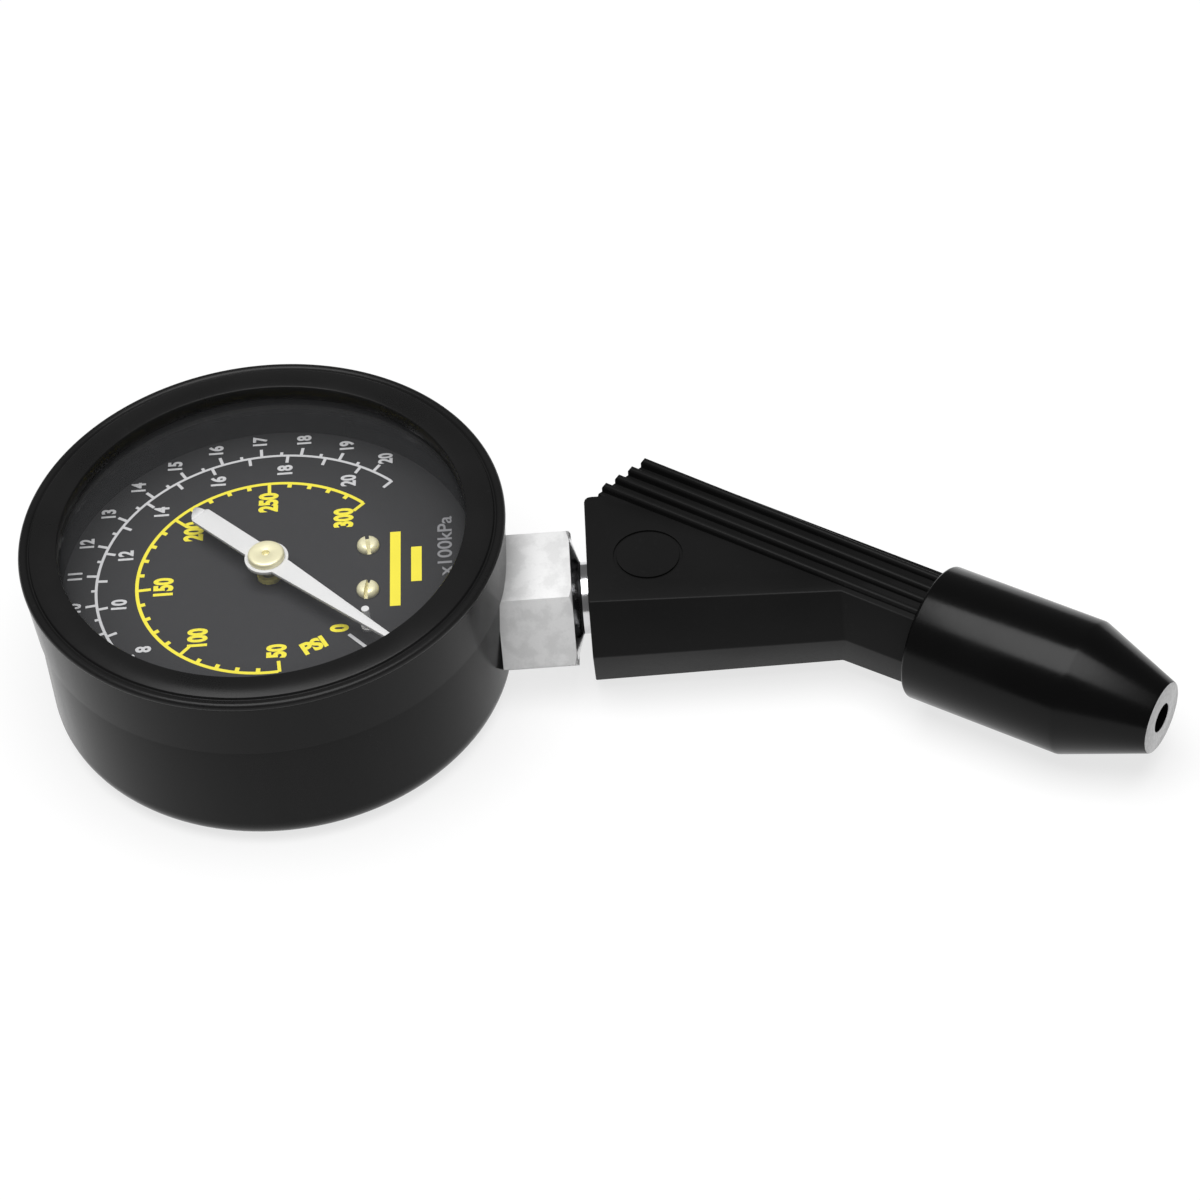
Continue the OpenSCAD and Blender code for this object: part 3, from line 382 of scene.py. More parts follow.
# %% Start and choose
def only(obj):
    bpy.ops.object.select_all(action="DESELECT")
    obj.select_set(True)
    bpy.context.view_layer.objects.active = obj
    return obj


def start(operator, name, **settings):
    bpy.ops.object.select_all(action="DESELECT")
    operator(**settings)
    obj = bpy.context.object
    obj.name = name
    obj.data.name = name
    bpy.ops.object.transform_apply(location=True, rotation=True, scale=True)
    return obj


def block(name, low, high):
    middle = (Vector(low) + Vector(high)) / 2 * MM
    size = (Vector(high) - Vector(low)) * MM
    return start(bpy.ops.mesh.primitive_cube_add, name, size=1, location=middle, scale=size)


def rod(name, radius, low, high, sides=96, turn_deg=0):
    return start(bpy.ops.mesh.primitive_cylinder_add, name, vertices=sides, radius=radius * MM,
                 depth=(high - low) * MM, location=(0, 0, (low + high) / 2 * MM),
                 rotation=(0, 0, math.radians(turn_deg)))


def choose(obj, kind, test):
    only(obj)
    bpy.ops.object.mode_set(mode="EDIT")
    bpy.ops.mesh.select_mode(type=kind)
    bpy.ops.mesh.select_all(action="DESELECT")
    bpy.ops.object.mode_set(mode="OBJECT")
    points = [point.co / MM for point in obj.data.vertices]
    if kind == "VERT":
        for point, place in zip(obj.data.vertices, points):
            point.select = test(place)
    else:
        for edge in obj.data.edges:
            edge.select = test(*(points[i] for i in edge.vertices))
    bpy.ops.object.mode_set(mode="EDIT")


def shift_points(obj, test, move):
    choose(obj, "VERT", test)
    bpy.ops.transform.translate(value=Vector(move) * MM)
    bpy.ops.object.mode_set(mode="OBJECT")


def round_edges(obj, test, offset, segments):
    choose(obj, "EDGE", test)
    bpy.ops.mesh.bevel(offset=offset * MM, segments=segments, affect="EDGES")
    bpy.ops.object.mode_set(mode="OBJECT")


print("helpers to start a piece and to choose its points and edges are ready")

# %% [markdown]
# ## Bench tools: cut, join and hand over
# Edges are softened with a Bevel modifier, pieces are cut or joined with Boolean modifiers, and a plane
# can slice a piece. At the end a piece gets its finish and is handed to the body that it rides on, with
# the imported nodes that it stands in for.

# %% Cut, join and hand over
def at(x, y, z):
    return Matrix.Translation(Vector((x, y, z)) * MM)


def about(axis, angle):
    return Matrix.Rotation(angle, 4, axis)


def put(obj, matrix):
    only(obj)
    obj.matrix_world = matrix @ obj.matrix_world
    bpy.ops.object.transform_apply(location=True, rotation=True, scale=True)
    return obj


def copy_of(obj):
    only(obj)
    bpy.ops.object.duplicate()
    return bpy.context.object


def apply_modifier(obj, kind, **settings):
    only(obj)
    tool = obj.modifiers.new(kind.lower(), kind)
    for name, value in settings.items():
        setattr(tool, name, value)
    bpy.ops.object.modifier_apply(modifier=tool.name)
    return obj


def soften(obj, width, segments=3, angle=28):
    return apply_modifier(obj, "BEVEL", width=width * MM, segments=segments, limit_method="ANGLE",
                          angle_limit=math.radians(angle), use_clamp_overlap=True)


def combine(obj, other, operation):
    apply_modifier(obj, "BOOLEAN", operation=operation, object=other, solver="EXACT")
    bpy.data.objects.remove(other)
    return obj


def slice_at(obj, point, normal, cut_off=False):
    only(obj)
    bpy.ops.object.mode_set(mode="EDIT")
    bpy.ops.mesh.select_all(action="SELECT")
    bpy.ops.mesh.bisect(plane_co=Vector(point) * MM, plane_no=normal, use_fill=cut_off, clear_outer=cut_off)
    bpy.ops.object.mode_set(mode="OBJECT")


def join(obj, *others):
    only(obj)
    for other in others:
        other.select_set(True)
    bpy.ops.object.join()
    return obj


def hand_over(obj, finish, body, slot, *nodes, smooth=35):
    only(obj)
    obj.data.materials.clear()
    obj.data.materials.append(finish)
    bpy.ops.object.shade_smooth_by_angle(angle=math.radians(smooth))
    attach(obj, body)
    if nodes:
        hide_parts(*nodes)
    print(obj.name, "faces:", len(obj.data.polygons))
    return obj


print("helpers to cut, join and hand over a piece are ready")

# %% [markdown]
# ## Turned pieces
# Anything that came off a lathe, or out of a round mould, is one outline carried round an axis. Here a
# circle is the first ring, and each further ring is extruded from the last, moved along the axis and
# resized. The list of rings then reads like a turner's drawing: radius and height in millimetres. Pieces
# on the stem and the nozzle are turned upright, and a matrix lays them on their own axis.

# %% Turning helper
MERGE = 0.000002


def close_up(obj):
    only(obj)
    bpy.ops.object.mode_set(mode="EDIT")
    bpy.ops.mesh.select_all(action="SELECT")
    bpy.ops.mesh.remove_doubles(threshold=MERGE)
    bpy.ops.mesh.fill_holes(sides=0)
    bpy.ops.mesh.select_all(action="SELECT")
    bpy.ops.mesh.normals_make_consistent(inside=False)
    bpy.ops.object.mode_set(mode="OBJECT")
    return obj


def turned(name, rings, sides=128, loop=False):
    first_r, first_z = rings[0]
    obj = start(bpy.ops.mesh.primitive_circle_add, name, vertices=sides, radius=first_r * MM,
                location=(0, 0, first_z * MM))
    bpy.ops.object.mode_set(mode="EDIT")
    bpy.ops.mesh.select_all(action="SELECT")
    chain = rings + rings[:1] if loop else rings
    for (r0, z0), (r1, z1) in zip(chain, chain[1:]):
        bpy.ops.mesh.extrude_edges_move()
        bpy.ops.transform.translate(value=(0, 0, (z1 - z0) * MM))
        bpy.ops.transform.resize(value=(r1 / r0, r1 / r0, 1), center_override=(0, 0, 0))
    bpy.ops.object.mode_set(mode="OBJECT")
    return close_up(obj)


def arc(centre_r, centre_z, radius, start_deg, end_deg, steps=8):
    angles = [math.radians(start_deg + (end_deg - start_deg) * i / steps) for i in range(steps + 1)]
    return [(centre_r + radius * math.cos(a), centre_z + radius * math.sin(a)) for a in angles]


lathe_to_stem = Matrix(((0, 0, 1), (1, 0, 0), (0, 1, 0))).to_4x4()
stem_place = at(0, 0, STEM_Z) @ lathe_to_stem
nozzle_turn = about("Z", -BEND)
nozzle_place = at(BEND_X, 0, STEM_Z) @ nozzle_turn @ lathe_to_stem
print("stem axis height", STEM_Z, "mm; bend", round(math.degrees(BEND), 1), "degrees")

# %% [markdown]
# ## Case
# The case is a deep cup with a rounded back edge and a raised band that flares up to the bezel. Its outline
# runs up the outside, over the rim, down the inside past the ledge that carries the window, and across
# the floor. The stem comes out through a round hole in the wall, and the two screws that hold the stem's
# block sit in pockets in the back, so all three are cut with Boolean modifiers.

# %% Case
CASE_R = 33.3
CASE_BORE = 31.1
BACK_ROUND = 4.5
INNER_ROUND = 2.7
BAND_Z = 19.15
BAND_R = 33.6
RIM_R = 34.15
RIM_Z = 28.3
LEDGE_R = 29.9
LEDGE_Z = 24.1
MIDDLE_R = 8
POCKET_X = 12
POCKET_Y = 5
POCKET_R = 2.45
POCKET_DEEP = 1.5
STEM_HOLE_R = 7.05
STEM_HOLE_FROM = 27
STEM_HOLE_TO = 34

outside = [(MIDDLE_R, 0), (CASE_R - BACK_ROUND, 0)]
outside += arc(CASE_R - BACK_ROUND, BACK_ROUND, BACK_ROUND, -82, 0, 9)
outside += [(CASE_R, BAND_Z - 0.25), (BAND_R, BAND_Z), (RIM_R, RIM_Z)]
inside = [(CASE_BORE, RIM_Z), (CASE_BORE, LEDGE_Z), (LEDGE_R, LEDGE_Z), (LEDGE_R, LEDGE_Z - 0.8),
          (CASE_BORE, LEDGE_Z - 2.0), (CASE_BORE, BACK_ROUND)]
inside += arc(CASE_BORE - INNER_ROUND, BACK_ROUND, INNER_ROUND, -8, -90, 6)
inside += [(MIDDLE_R, BACK_ROUND - INNER_ROUND)]
case = turned("case_shell", outside + inside, sides=160)
pocket = put(rod("pocket", POCKET_R, -1, POCKET_DEEP, 48), at(POCKET_X, -POCKET_Y, 0))
second_pocket = put(copy_of(pocket), at(0, 2 * POCKET_Y, 0))
combine(case, pocket, "DIFFERENCE")
combine(case, second_pocket, "DIFFERENCE")
stem_hole = put(rod("stem_hole", STEM_HOLE_R, STEM_HOLE_FROM, STEM_HOLE_TO), stem_place)
combine(case, stem_hole, "DIFFERENCE")
hand_over(case, case_black, "gauge_body", "case_black", "case")

# %% [markdown]
# ## Bezel
# The bezel is a ring with a broad flat face. A fine groove parts the face from a rounded bead at the outer
# edge, the inner edge is slightly rounded, and a skirt goes down inside the case to hold the window.

# %% Bezel
BEZEL_IN = 28.7
BEZEL_OUT = 34.25
BEZEL_TOP = 29.5
SKIRT_R = 31.05
LENS_TOP = 27.3
BEAD = 0.6
GROOVE_R = 32.85
GROOVE_Z = 28.95

skirt = [(BEZEL_IN, LENS_TOP), (SKIRT_R, LENS_TOP), (SKIRT_R, RIM_Z + 0.02), (RIM_R, RIM_Z + 0.02)]
bead = [(BEZEL_OUT, RIM_Z + 0.2)] + arc(BEZEL_OUT - BEAD, RIM_Z + 0.4, BEAD, 5, 90, 8)
bead += [(GROOVE_R + 0.45, GROOVE_Z + 0.32), (GROOVE_R + 0.25, GROOVE_Z + 0.2)]
groove = [(GROOVE_R + 0.1, GROOVE_Z), (GROOVE_R - 0.1, GROOVE_Z)]
face = [(GROOVE_R - 0.25, BEZEL_TOP - 0.2), (GROOVE_R - 0.45, BEZEL_TOP - 0.08), (BEZEL_IN + 0.4, BEZEL_TOP),
        (BEZEL_IN + 0.15, BEZEL_TOP - 0.08), (BEZEL_IN, BEZEL_TOP - 0.3)]
bezel = turned("bezel_ring", skirt + bead + groove + face, sides=192, loop=True)
soften(bezel, width=0.04, segments=2, angle=40)
hand_over(bezel, bezel_black, "gauge_body", "case_black", "bezel")

# %% [markdown]
# ## Window
# The window is a flat disc with a ground edge, held under the bezel's skirt. It is turned like the rest,
# and a small bevel stands for the grinding.

# %% Window
LENS_LOW = LENS_TOP - 1.5
LENS_MIDDLE_R = 10

lens_rings = [(LENS_MIDDLE_R, LENS_LOW), (SKIRT_R, LENS_LOW), (SKIRT_R, LENS_TOP), (LENS_MIDDLE_R, LENS_TOP)]
lens = turned("lens_disc", lens_rings, sides=128)
soften(lens, width=0.12, segments=2, angle=40)
hand_over(lens, lens_clear, "gauge_body", "clear_lens", "lens")

# %% [markdown]
# ## Stem: hexagon and block
# The brass socket of the gauge shows its hexagon, a conical shoulder and a short neck, all plated. The
# hexagon's corners are turned down at the grip's end only, by cutting it with a cone, and its root ends
# just inside the case's wall, so no gap shows between them. Inside the case a block carries the movement,
# with two posts for the dial's screws.

# %% Hexagon and block
HEX_CORNER_R = 10.97
HEX_FROM = 32.1
HEX_TO = 42.6
HEX_TURN = -17
HEX_CHAMFER_R = 10.28
CUTTER_R = 12
CUTTER_FROM = 32
BLOCK_LOW = (5, -8, 7.2)
BLOCK_HIGH = (27, 8, 13.9)
DIAL_SCREW_X = 14
DIAL_SCREW_Y = 4.4
POST_R = 2.2
POST_LOW = 12
POST_TOP = 19.0
POST_HOLE_R = 1.3
POST_HOLE_LOW = 15

hexagon = rod("stem_hexagon", HEX_CORNER_R, HEX_FROM, HEX_TO, sides=6, turn_deg=HEX_TURN)
corner_rings = [(1, CUTTER_FROM), (CUTTER_R, CUTTER_FROM), (CUTTER_R, HEX_TO - 1), (HEX_CHAMFER_R, HEX_TO),
                (1, HEX_TO)]
combine(hexagon, turned("corner_cutter", corner_rings, sides=128), "INTERSECT")
soften(hexagon, width=0.12, segments=2, angle=25)
put(hexagon, stem_place)
socket_block = soften(block("socket_block", BLOCK_LOW, BLOCK_HIGH), width=0.4)
post_rings = [(0.5, POST_LOW), (POST_R, POST_LOW), (POST_R, POST_TOP), (POST_HOLE_R, POST_TOP),
              (POST_HOLE_R, POST_HOLE_LOW), (0.5, POST_HOLE_LOW)]
post = put(turned("post", post_rings, 48), at(DIAL_SCREW_X, -DIAL_SCREW_Y, 0))
second_post = put(copy_of(post), at(0, 2 * DIAL_SCREW_Y, 0))
join(hexagon, socket_block, post, second_post)
hand_over(hexagon, plated_metal, "gauge_body", "plated_metal", "socket", smooth=25)

# %% [markdown]
# ## Stem: shank
# The shoulder and neck came straight off the lathe, so they are smoother than the hexagon and are kept as
# a piece with a finish of its own. Inside the grip the thread is a stack of turned ridges, which reads as
# a thread at this size. A true helix would be a Screw modifier, but most of it is out of sight.

# %% Shank
PASSAGE_R = 1.5
SHANK_FROM = 26.5
SHANK_END = 57.0
ROOT_R = 7.0
CORE_R = 5.0
SHOULDER_R = 8.9
NECK_R = 5.15
THREAD_FROM = 44.9
RIDGES = 13
PITCH = 0.92
THREAD_LOW_R = 4.35
THREAD_HIGH_R = 4.85

shank_rings = [(PASSAGE_R, SHANK_FROM), (ROOT_R, SHANK_FROM), (ROOT_R, HEX_FROM + 0.1),
               (CORE_R, HEX_FROM + 0.1), (CORE_R, HEX_TO - 0.1), (SHOULDER_R, HEX_TO - 0.05),
               (NECK_R + 0.15, HEX_TO + 1.1), (NECK_R, HEX_TO + 1.25), (NECK_R, THREAD_FROM - 0.1)]
for ridge in range(RIDGES):
    z = THREAD_FROM + ridge * PITCH
    shank_rings += [(THREAD_LOW_R, z), (THREAD_HIGH_R, z + 0.42), (THREAD_HIGH_R, z + 0.5)]
shank_rings += [(4.3, THREAD_FROM + RIDGES * PITCH), (4.1, SHANK_END), (PASSAGE_R, SHANK_END)]
shank = put(turned("stem_shank", shank_rings, sides=96, loop=True), stem_place)
hand_over(shank, turned_metal, "gauge_body", "plated_metal", smooth=25)

# %% [markdown]
# ## Grip
# The grip is a moulding with a flattened hexagonal section: its flanks lean in from a parting edge at
# half height, and it thins a little towards the nozzle. Three over-tall prisms are joined: the stem
# part, the slanted bar and the web between them. Then both broad faces are cut with a tilted plane, so
# they come out as one flat face each, and the edges are softened.

# %% Grip prisms
HANDLE_X = 44.9
BEND_IN = BEND_X - HANDLE_X
GRIP_LEN = 37.6
GRIP_HALF = 12
GRIP_LEAN = 4
BAR_BACK = 29.3
BAR_SPARE = 4
BAR_FRONT = 21
BAR_HALF = 7.2
BAR_LEAN = 3.16
SKEW = math.radians(18)
WEB_HALF = 12.5
WEB_ROUND = 1.0
WEB_SLANT = 19.03
TALL = 10.0
bar_place = at(BEND_IN, 0, 0) @ nozzle_turn

grip = block("grip_body", (0, -GRIP_HALF, -TALL), (GRIP_LEN, 0, TALL))
slice_at(grip, (0, 0, 0), (0, 0, 1))
shift_points(grip, lambda p: p.y < 1 - GRIP_HALF and abs(p.z) > TALL / 2, (0, GRIP_LEAN, 0))

bar = block("grip_bar", (-BAR_BACK - BAR_SPARE, -BAR_HALF, -TALL), (BAR_FRONT, BAR_HALF, TALL))
slice_at(bar, (0, 0, 0), (0, 0, 1))
shift_points(bar, lambda p: p.y < 1 - BAR_HALF and abs(p.z) > TALL / 2, (0, BAR_LEAN, 0))
shift_points(bar, lambda p: p.y > BAR_HALF - 1 and abs(p.z) > TALL / 2, (0, -BAR_LEAN, 0))
slice_at(bar, (-BAR_BACK, 0, 0), (-math.cos(SKEW), math.sin(SKEW), 0), cut_off=True)
put(bar, bar_place)

web = block("grip_web", (0, -1, -TALL), (BEND_IN, WEB_HALF, TALL))
round_edges(web, lambda a, b: max(a.x, b.x) < 1 and min(a.y, b.y) > WEB_HALF / 2, WEB_ROUND, 3)
shift_points(web, lambda p: p.x > BEND_IN / 2 and p.y > WEB_HALF / 2, (-WEB_SLANT, 0, 0))
combine(grip, bar, "UNION")
combine(grip, web, "UNION")
print("grip prisms joined, faces:", len(grip.data.polygons))

# %% [markdown]
# ## Grip faces
# One tilted plane on each side takes the prisms down to the grip's thickness at that place. Points that
# the cuts left on top of each other are welded before the bevel, which would otherwise pinch there.

# %% Grip faces
GRIP_HALF_T = 8.0
GRIP_THINS = 1.25
WELD = 0.00001
SLOPE = GRIP_THINS / (BEND_IN + BAR_FRONT * math.cos(BEND))


def half_thickness(x):
    return GRIP_HALF_T - SLOPE * x


for side in (1, -1):
    slice_at(grip, (0, 0, side * GRIP_HALF_T), (SLOPE, 0, side), cut_off=True)
apply_modifier(grip, "WELD", merge_threshold=WELD)
soften(grip, width=0.4, segments=3, angle=18)
print("grip body faces:", len(grip.data.polygons))

# %% [markdown]
# ## Grip details
# The hole for the stem and the round mark are cut with Boolean modifiers. The ribs are modelled once,
# as a bar with a rounded crest, and copied. Each sinks into the face towards the nozzle, so it is
# tilted by the angle that takes its crest from full height at the back to half of it at the nozzle.

# %% Grip hole and mark
INSERT_R = 6.25
INSERT_DEEP = 13.1
MARK_X = 8.7
MARK_IN = 4.45
MARK_OUT = 4.95
MARK_DEEP = 0.3

hole = put(rod("stem_hole", INSERT_R, -1, INSERT_DEEP), lathe_to_stem)
combine(grip, hole, "DIFFERENCE")
mark_rings = [(MARK_IN, -MARK_DEEP), (MARK_OUT, -MARK_DEEP), (MARK_OUT, 1.5), (MARK_IN, 1.5)]
mark = turned("round_mark", mark_rings, 96, loop=True)
put(mark, at(MARK_X, 0, half_thickness(MARK_X)) @ about("Y", math.atan(SLOPE)))
combine(grip, mark, "DIFFERENCE")
print("hole and mark cut, faces:", len(grip.data.polygons))

# %% [markdown]
# ## Grip ribs
# Four ribs run along each broad face. Their back ends follow the bar's slanted end, so the end of each
# copy is moved to meet it. A short spigot at the bar's other end goes into the rubber cone.

# %% Grip ribs
RIB_HIGH = 1.3
RIB_LEN = 50.3
RIB_HALF = 0.55
RIB_DEEP = 3
RIB_ROUND = 0.5
RIB_GAP = 2.35
CREST_FRONT = 7.45
SPIGOT_R = 6.5
SPIGOT_BORE = 4.05
SPIGOT_FROM = 20
SPIGOT_TO = 30

crest_back = half_thickness(BEND_IN - BAR_BACK * math.cos(BEND)) + RIB_HIGH
lean = math.atan((crest_back - CREST_FRONT) / RIB_LEN)
rib = block("rib", (0, -RIB_HALF, -RIB_DEEP), (RIB_LEN, RIB_HALF, 0))
round_edges(rib, lambda a, b: min(a.z, b.z) > -RIB_DEEP / 2, RIB_ROUND, 5)
rib_place = at(-BAR_BACK, 0, crest_back) @ about("Y", lean)
ribs = []
for flip in (Matrix.Identity(4), about("X", math.pi)):
    for step in (-1.5, -0.5, 0.5, 1.5):
        across = step * RIB_GAP
        copy = copy_of(rib)
        shift_points(copy, lambda p: p.x < RIB_LEN / 2, (across * math.tan(SKEW), 0, 0))
        ribs.append(put(copy, bar_place @ at(0, across, 0) @ flip @ rib_place))
bpy.data.objects.remove(rib)

spigot_rings = [(SPIGOT_BORE, SPIGOT_FROM), (SPIGOT_R, SPIGOT_FROM), (SPIGOT_R, SPIGOT_TO),
                (SPIGOT_BORE, SPIGOT_TO)]
spigot = put(turned("spigot", spigot_rings, 64, loop=True), bar_place @ lathe_to_stem)
join(grip, spigot, *ribs)
put(grip, at(HANDLE_X, 0, STEM_Z))
hand_over(grip, handle_black, "gauge_body", "handle_black", "handle", smooth=22)

# %% [markdown]
# ## Rubber cone
# The cone is moulded rubber: a plain sleeve, a taper and a small hole in the tip. Its corners are nearly
# sharp, so each is only a short arc or a pair of small steps in the outline.

# %% Rubber cone
SLEEVE_R = 9.8
SLEEVE_FROM = 21.0
SLEEVE_BORE = 6.55
TAPER_FROM = 44.0
TIP_R = 5.3
TIP_HOLE_R = 2.1
TIP_BACK = 52.4
TUBE_FROM = 31.2

sleeve = [(SLEEVE_BORE, SLEEVE_FROM)] + arc(SLEEVE_R - 0.5, SLEEVE_FROM + 0.5, 0.5, -90, 0, 5)
taper = [(SLEEVE_R, TAPER_FROM), (SLEEVE_R - 0.04, TAPER_FROM + 0.3), (SLEEVE_R - 0.12, TAPER_FROM + 0.54),
         (TIP_R, CONE_END - 0.24), (TIP_R - 0.08, CONE_END - 0.08), (TIP_R - 0.22, CONE_END)]
passage = [(TIP_HOLE_R + 0.1, CONE_END), (TIP_HOLE_R, CONE_END - 0.1), (TIP_HOLE_R, TIP_BACK),
           (SPIGOT_BORE, TIP_BACK), (SPIGOT_BORE, TUBE_FROM), (SLEEVE_BORE, TUBE_FROM)]
cone = put(turned("rubber_cone_skin", sleeve + taper + passage, sides=160, loop=True), nozzle_place)
hand_over(cone, cone_rubber, "gauge_body", "cone_rubber", "rubber_cone", smooth=40)

# %% [markdown]
# ## Valve spring
# Behind the hole in the cone's tip sits a check valve, and a small coil spring pushes its stem out. One
# round section of the wire is carried up and round by a Screw modifier. The real spring gives way when the
# stem is pressed.

# %% Valve spring
SPRING_LOW = 44.75
SPRING_LEN = 5.15
SPRING_R = 1.275
WIRE_R = 0.125
TURNS = 5

spring = start(bpy.ops.mesh.primitive_circle_add, "valve_spring_coil", vertices=10, radius=WIRE_R * MM,
               location=(SPRING_R * MM, 0, (SPRING_LOW + WIRE_R) * MM), rotation=(math.pi / 2, 0, 0))
climb = (SPRING_LEN - 2 * WIRE_R) / TURNS
apply_modifier(spring, "SCREW", axis="Z", screw_offset=climb * MM, iterations=TURNS, steps=24,
               render_steps=24)
close_up(spring)
hand_over(put(spring, nozzle_place), steel, "gauge_body", "steel", "valve_spring")
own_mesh(spring)

# %% [markdown]
# ## Pointer
# The pointer is stamped from sheet and painted white. Its needle tapers to a narrow end and its tail is
# a broad strip with a round end. Two blocks and a disc are shaped and joined into one sheet, which is
# then turned to where it rests on the scale. The bevel takes all four edges of the tail's end, so the
# end also stands a little proud of the sheet.

# %% Pointer
POINTER_Z = 22.9
SHEET_TOP = POINTER_Z + 0.5
NEEDLE_LEN = 24.8
NEEDLE_HALF = 1.7
NEEDLE_TAPER = 1.3
TAIL_LEN = 14.6
TAIL_HALF = 1.55
TAIL_ROUND = 1.3
RING_R = 3.1
POINTER_BORE = 1.55
ZERO = math.radians(-44.5)

needle = block("pointer_sheet", (0, -NEEDLE_HALF, POINTER_Z), (NEEDLE_LEN, NEEDLE_HALF, SHEET_TOP))
shift_points(needle, lambda p: p.x > NEEDLE_LEN / 2 and p.y > 0, (0, -NEEDLE_TAPER, 0))
shift_points(needle, lambda p: p.x > NEEDLE_LEN / 2 and p.y < 0, (0, NEEDLE_TAPER, 0))
tail = block("tail", (-TAIL_LEN, -TAIL_HALF, POINTER_Z), (0, TAIL_HALF, SHEET_TOP))
round_edges(tail, lambda a, b: max(a.x, b.x) < -TAIL_LEN / 2, TAIL_ROUND, 8)
combine(needle, tail, "UNION")
combine(needle, rod("pointer_ring", RING_R, POINTER_Z, SHEET_TOP, 64), "UNION")
combine(needle, rod("pointer_bore", POINTER_BORE, POINTER_Z - 1, POINTER_Z + 1, 48), "DIFFERENCE")
soften(needle, width=0.06, segments=2, angle=40)
put(needle, about("Z", ZERO))
hand_over(needle, pointer_paint, "pointer_body", "pointer_white", "pointer")

# %% [markdown]
# ## Hub and bush
# The hub is a turned cap with a centre dimple over a sleeve that goes through the pointer. Below it the
# brass bush of the movement stands a little out of the dial, in an eyelet painted like the dial. All
# three are turned.

# %% Hub and bush
HUB_R = 2.6
HUB_TOP = 24.32
HUB_UNDER = 23.42
HUB_SLEEVE_R = 1.5
HUB_SLEEVE_LOW = 21.7
SHAFT_R = 0.95
SHAFT_TOP = 23.45
BUSH_R = 1.72
BUSH_BORE = 1.05
BUSH_TOP = 20.3
DIAL_Z = 19.6
EYE_IN = 1.76
EYE_OUT = 3.4

dimple = [(0.15, HUB_TOP - 0.74), (0.5, HUB_TOP - 0.72), (0.55, HUB_TOP - 0.04), (0.62, HUB_TOP)]
cap = [(2.0, HUB_TOP)] + arc(HUB_R - 0.4, HUB_TOP - 0.42, 0.4, 80, 0, 5)
cap += [(HUB_R, HUB_UNDER), (HUB_SLEEVE_R, HUB_UNDER)]
hub_sleeve = [(HUB_SLEEVE_R, POINTER_Z - 0.05), (HUB_SLEEVE_R, HUB_SLEEVE_LOW), (SHAFT_R, HUB_SLEEVE_LOW),
              (SHAFT_R, SHAFT_TOP), (0.15, SHAFT_TOP)]
hub = turned("hub_cap", dimple + cap + hub_sleeve, sides=72)
hand_over(hub, cream_brass, "pointer_body", "cream_brass", "pointer_hub")

bush_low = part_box("center_bush")[0][2] / MM
bush_rings = [(BUSH_BORE, bush_low), (BUSH_R, bush_low), (BUSH_R, BUSH_TOP - 0.15), (BUSH_R - 0.12, BUSH_TOP),
              (BUSH_BORE, BUSH_TOP)]
bush = turned("center_bush_top", bush_rings, sides=64, loop=True)
# the bush's finish is painted light
hand_over(bush, bush_painted_light, "gauge_body", "brass", "center_bush")
eye_rings = [(EYE_IN, DIAL_Z - 0.2), (EYE_OUT, DIAL_Z - 0.2), (EYE_OUT, DIAL_Z + 0.01),
             (EYE_IN, DIAL_Z + 0.01)]
eye = turned("dial_eye", eye_rings, sides=64, loop=True)
hand_over(eye, dial_paint_edge_shade, "gauge_body", "dial_black")

# %% [markdown]
# ## Dial screws
# The dial is held by two screws with low round heads and a slot cut across. One screw is turned and
# slotted, and the second is a copy. No two screws stop at the same angle, so each is spun its own way.

# %% Dial screws
SCREW_R = 1.25
SCREW_LOW = 14.4
HEAD_R = 1.6
HEAD_SIDE = DIAL_Z + 0.35
HEAD_TOP = DIAL_Z + 1.23
HEAD_DOME = 0.85
SLOT_HALF = 0.28
SLOT_LOW = DIAL_Z + 0.08
SPINS = (math.radians(80), math.radians(96))

screw_rings = [(0.3, SCREW_LOW), (SCREW_R, SCREW_LOW), (SCREW_R, DIAL_Z), (HEAD_R - 0.05, DIAL_Z),
               (HEAD_R, DIAL_Z + 0.15), (HEAD_R, HEAD_SIDE)]
screw_rings += arc(HEAD_R - HEAD_DOME, HEAD_SIDE, HEAD_DOME, 0, 80, 6) + [(0.3, HEAD_TOP)]
screws = turned("dial_screw_heads", screw_rings, 48)
combine(screws, block("slot", (-2, -SLOT_HALF, SLOT_LOW), (2, SLOT_HALF, 21)), "DIFFERENCE")
second_screw = copy_of(screws)
put(screws, at(DIAL_SCREW_X, -DIAL_SCREW_Y, 0) @ about("Z", SPINS[0]))
put(second_screw, at(DIAL_SCREW_X, DIAL_SCREW_Y, 0) @ about("Z", SPINS[1]))
join(screws, second_screw)
hand_over(screws, cream_brass, "gauge_body", "cream_brass", "dial_screws")

# %% [markdown]
# ## Dial print
# The dial carries two printed scales: yellow figures on an inner ring, and white figures inside and
# outside an outer ring. Ink has almost no thickness, so each mark is a thin plate just above the paint.
# Lines are blocks and rings, and figures are text turned into mesh. The stem is at the bottom of the
# dial, so the figures stand with their tops away from it.

# %% Print helpers
INK = 0.03
TYPE_SCALE = 1.38


def tick(angle, r0, r1, width):
    mark = block("tick", (r0, -width / 2, DIAL_Z), (r1, width / 2, DIAL_Z + INK))
    return put(mark, about("Z", math.radians(angle)))


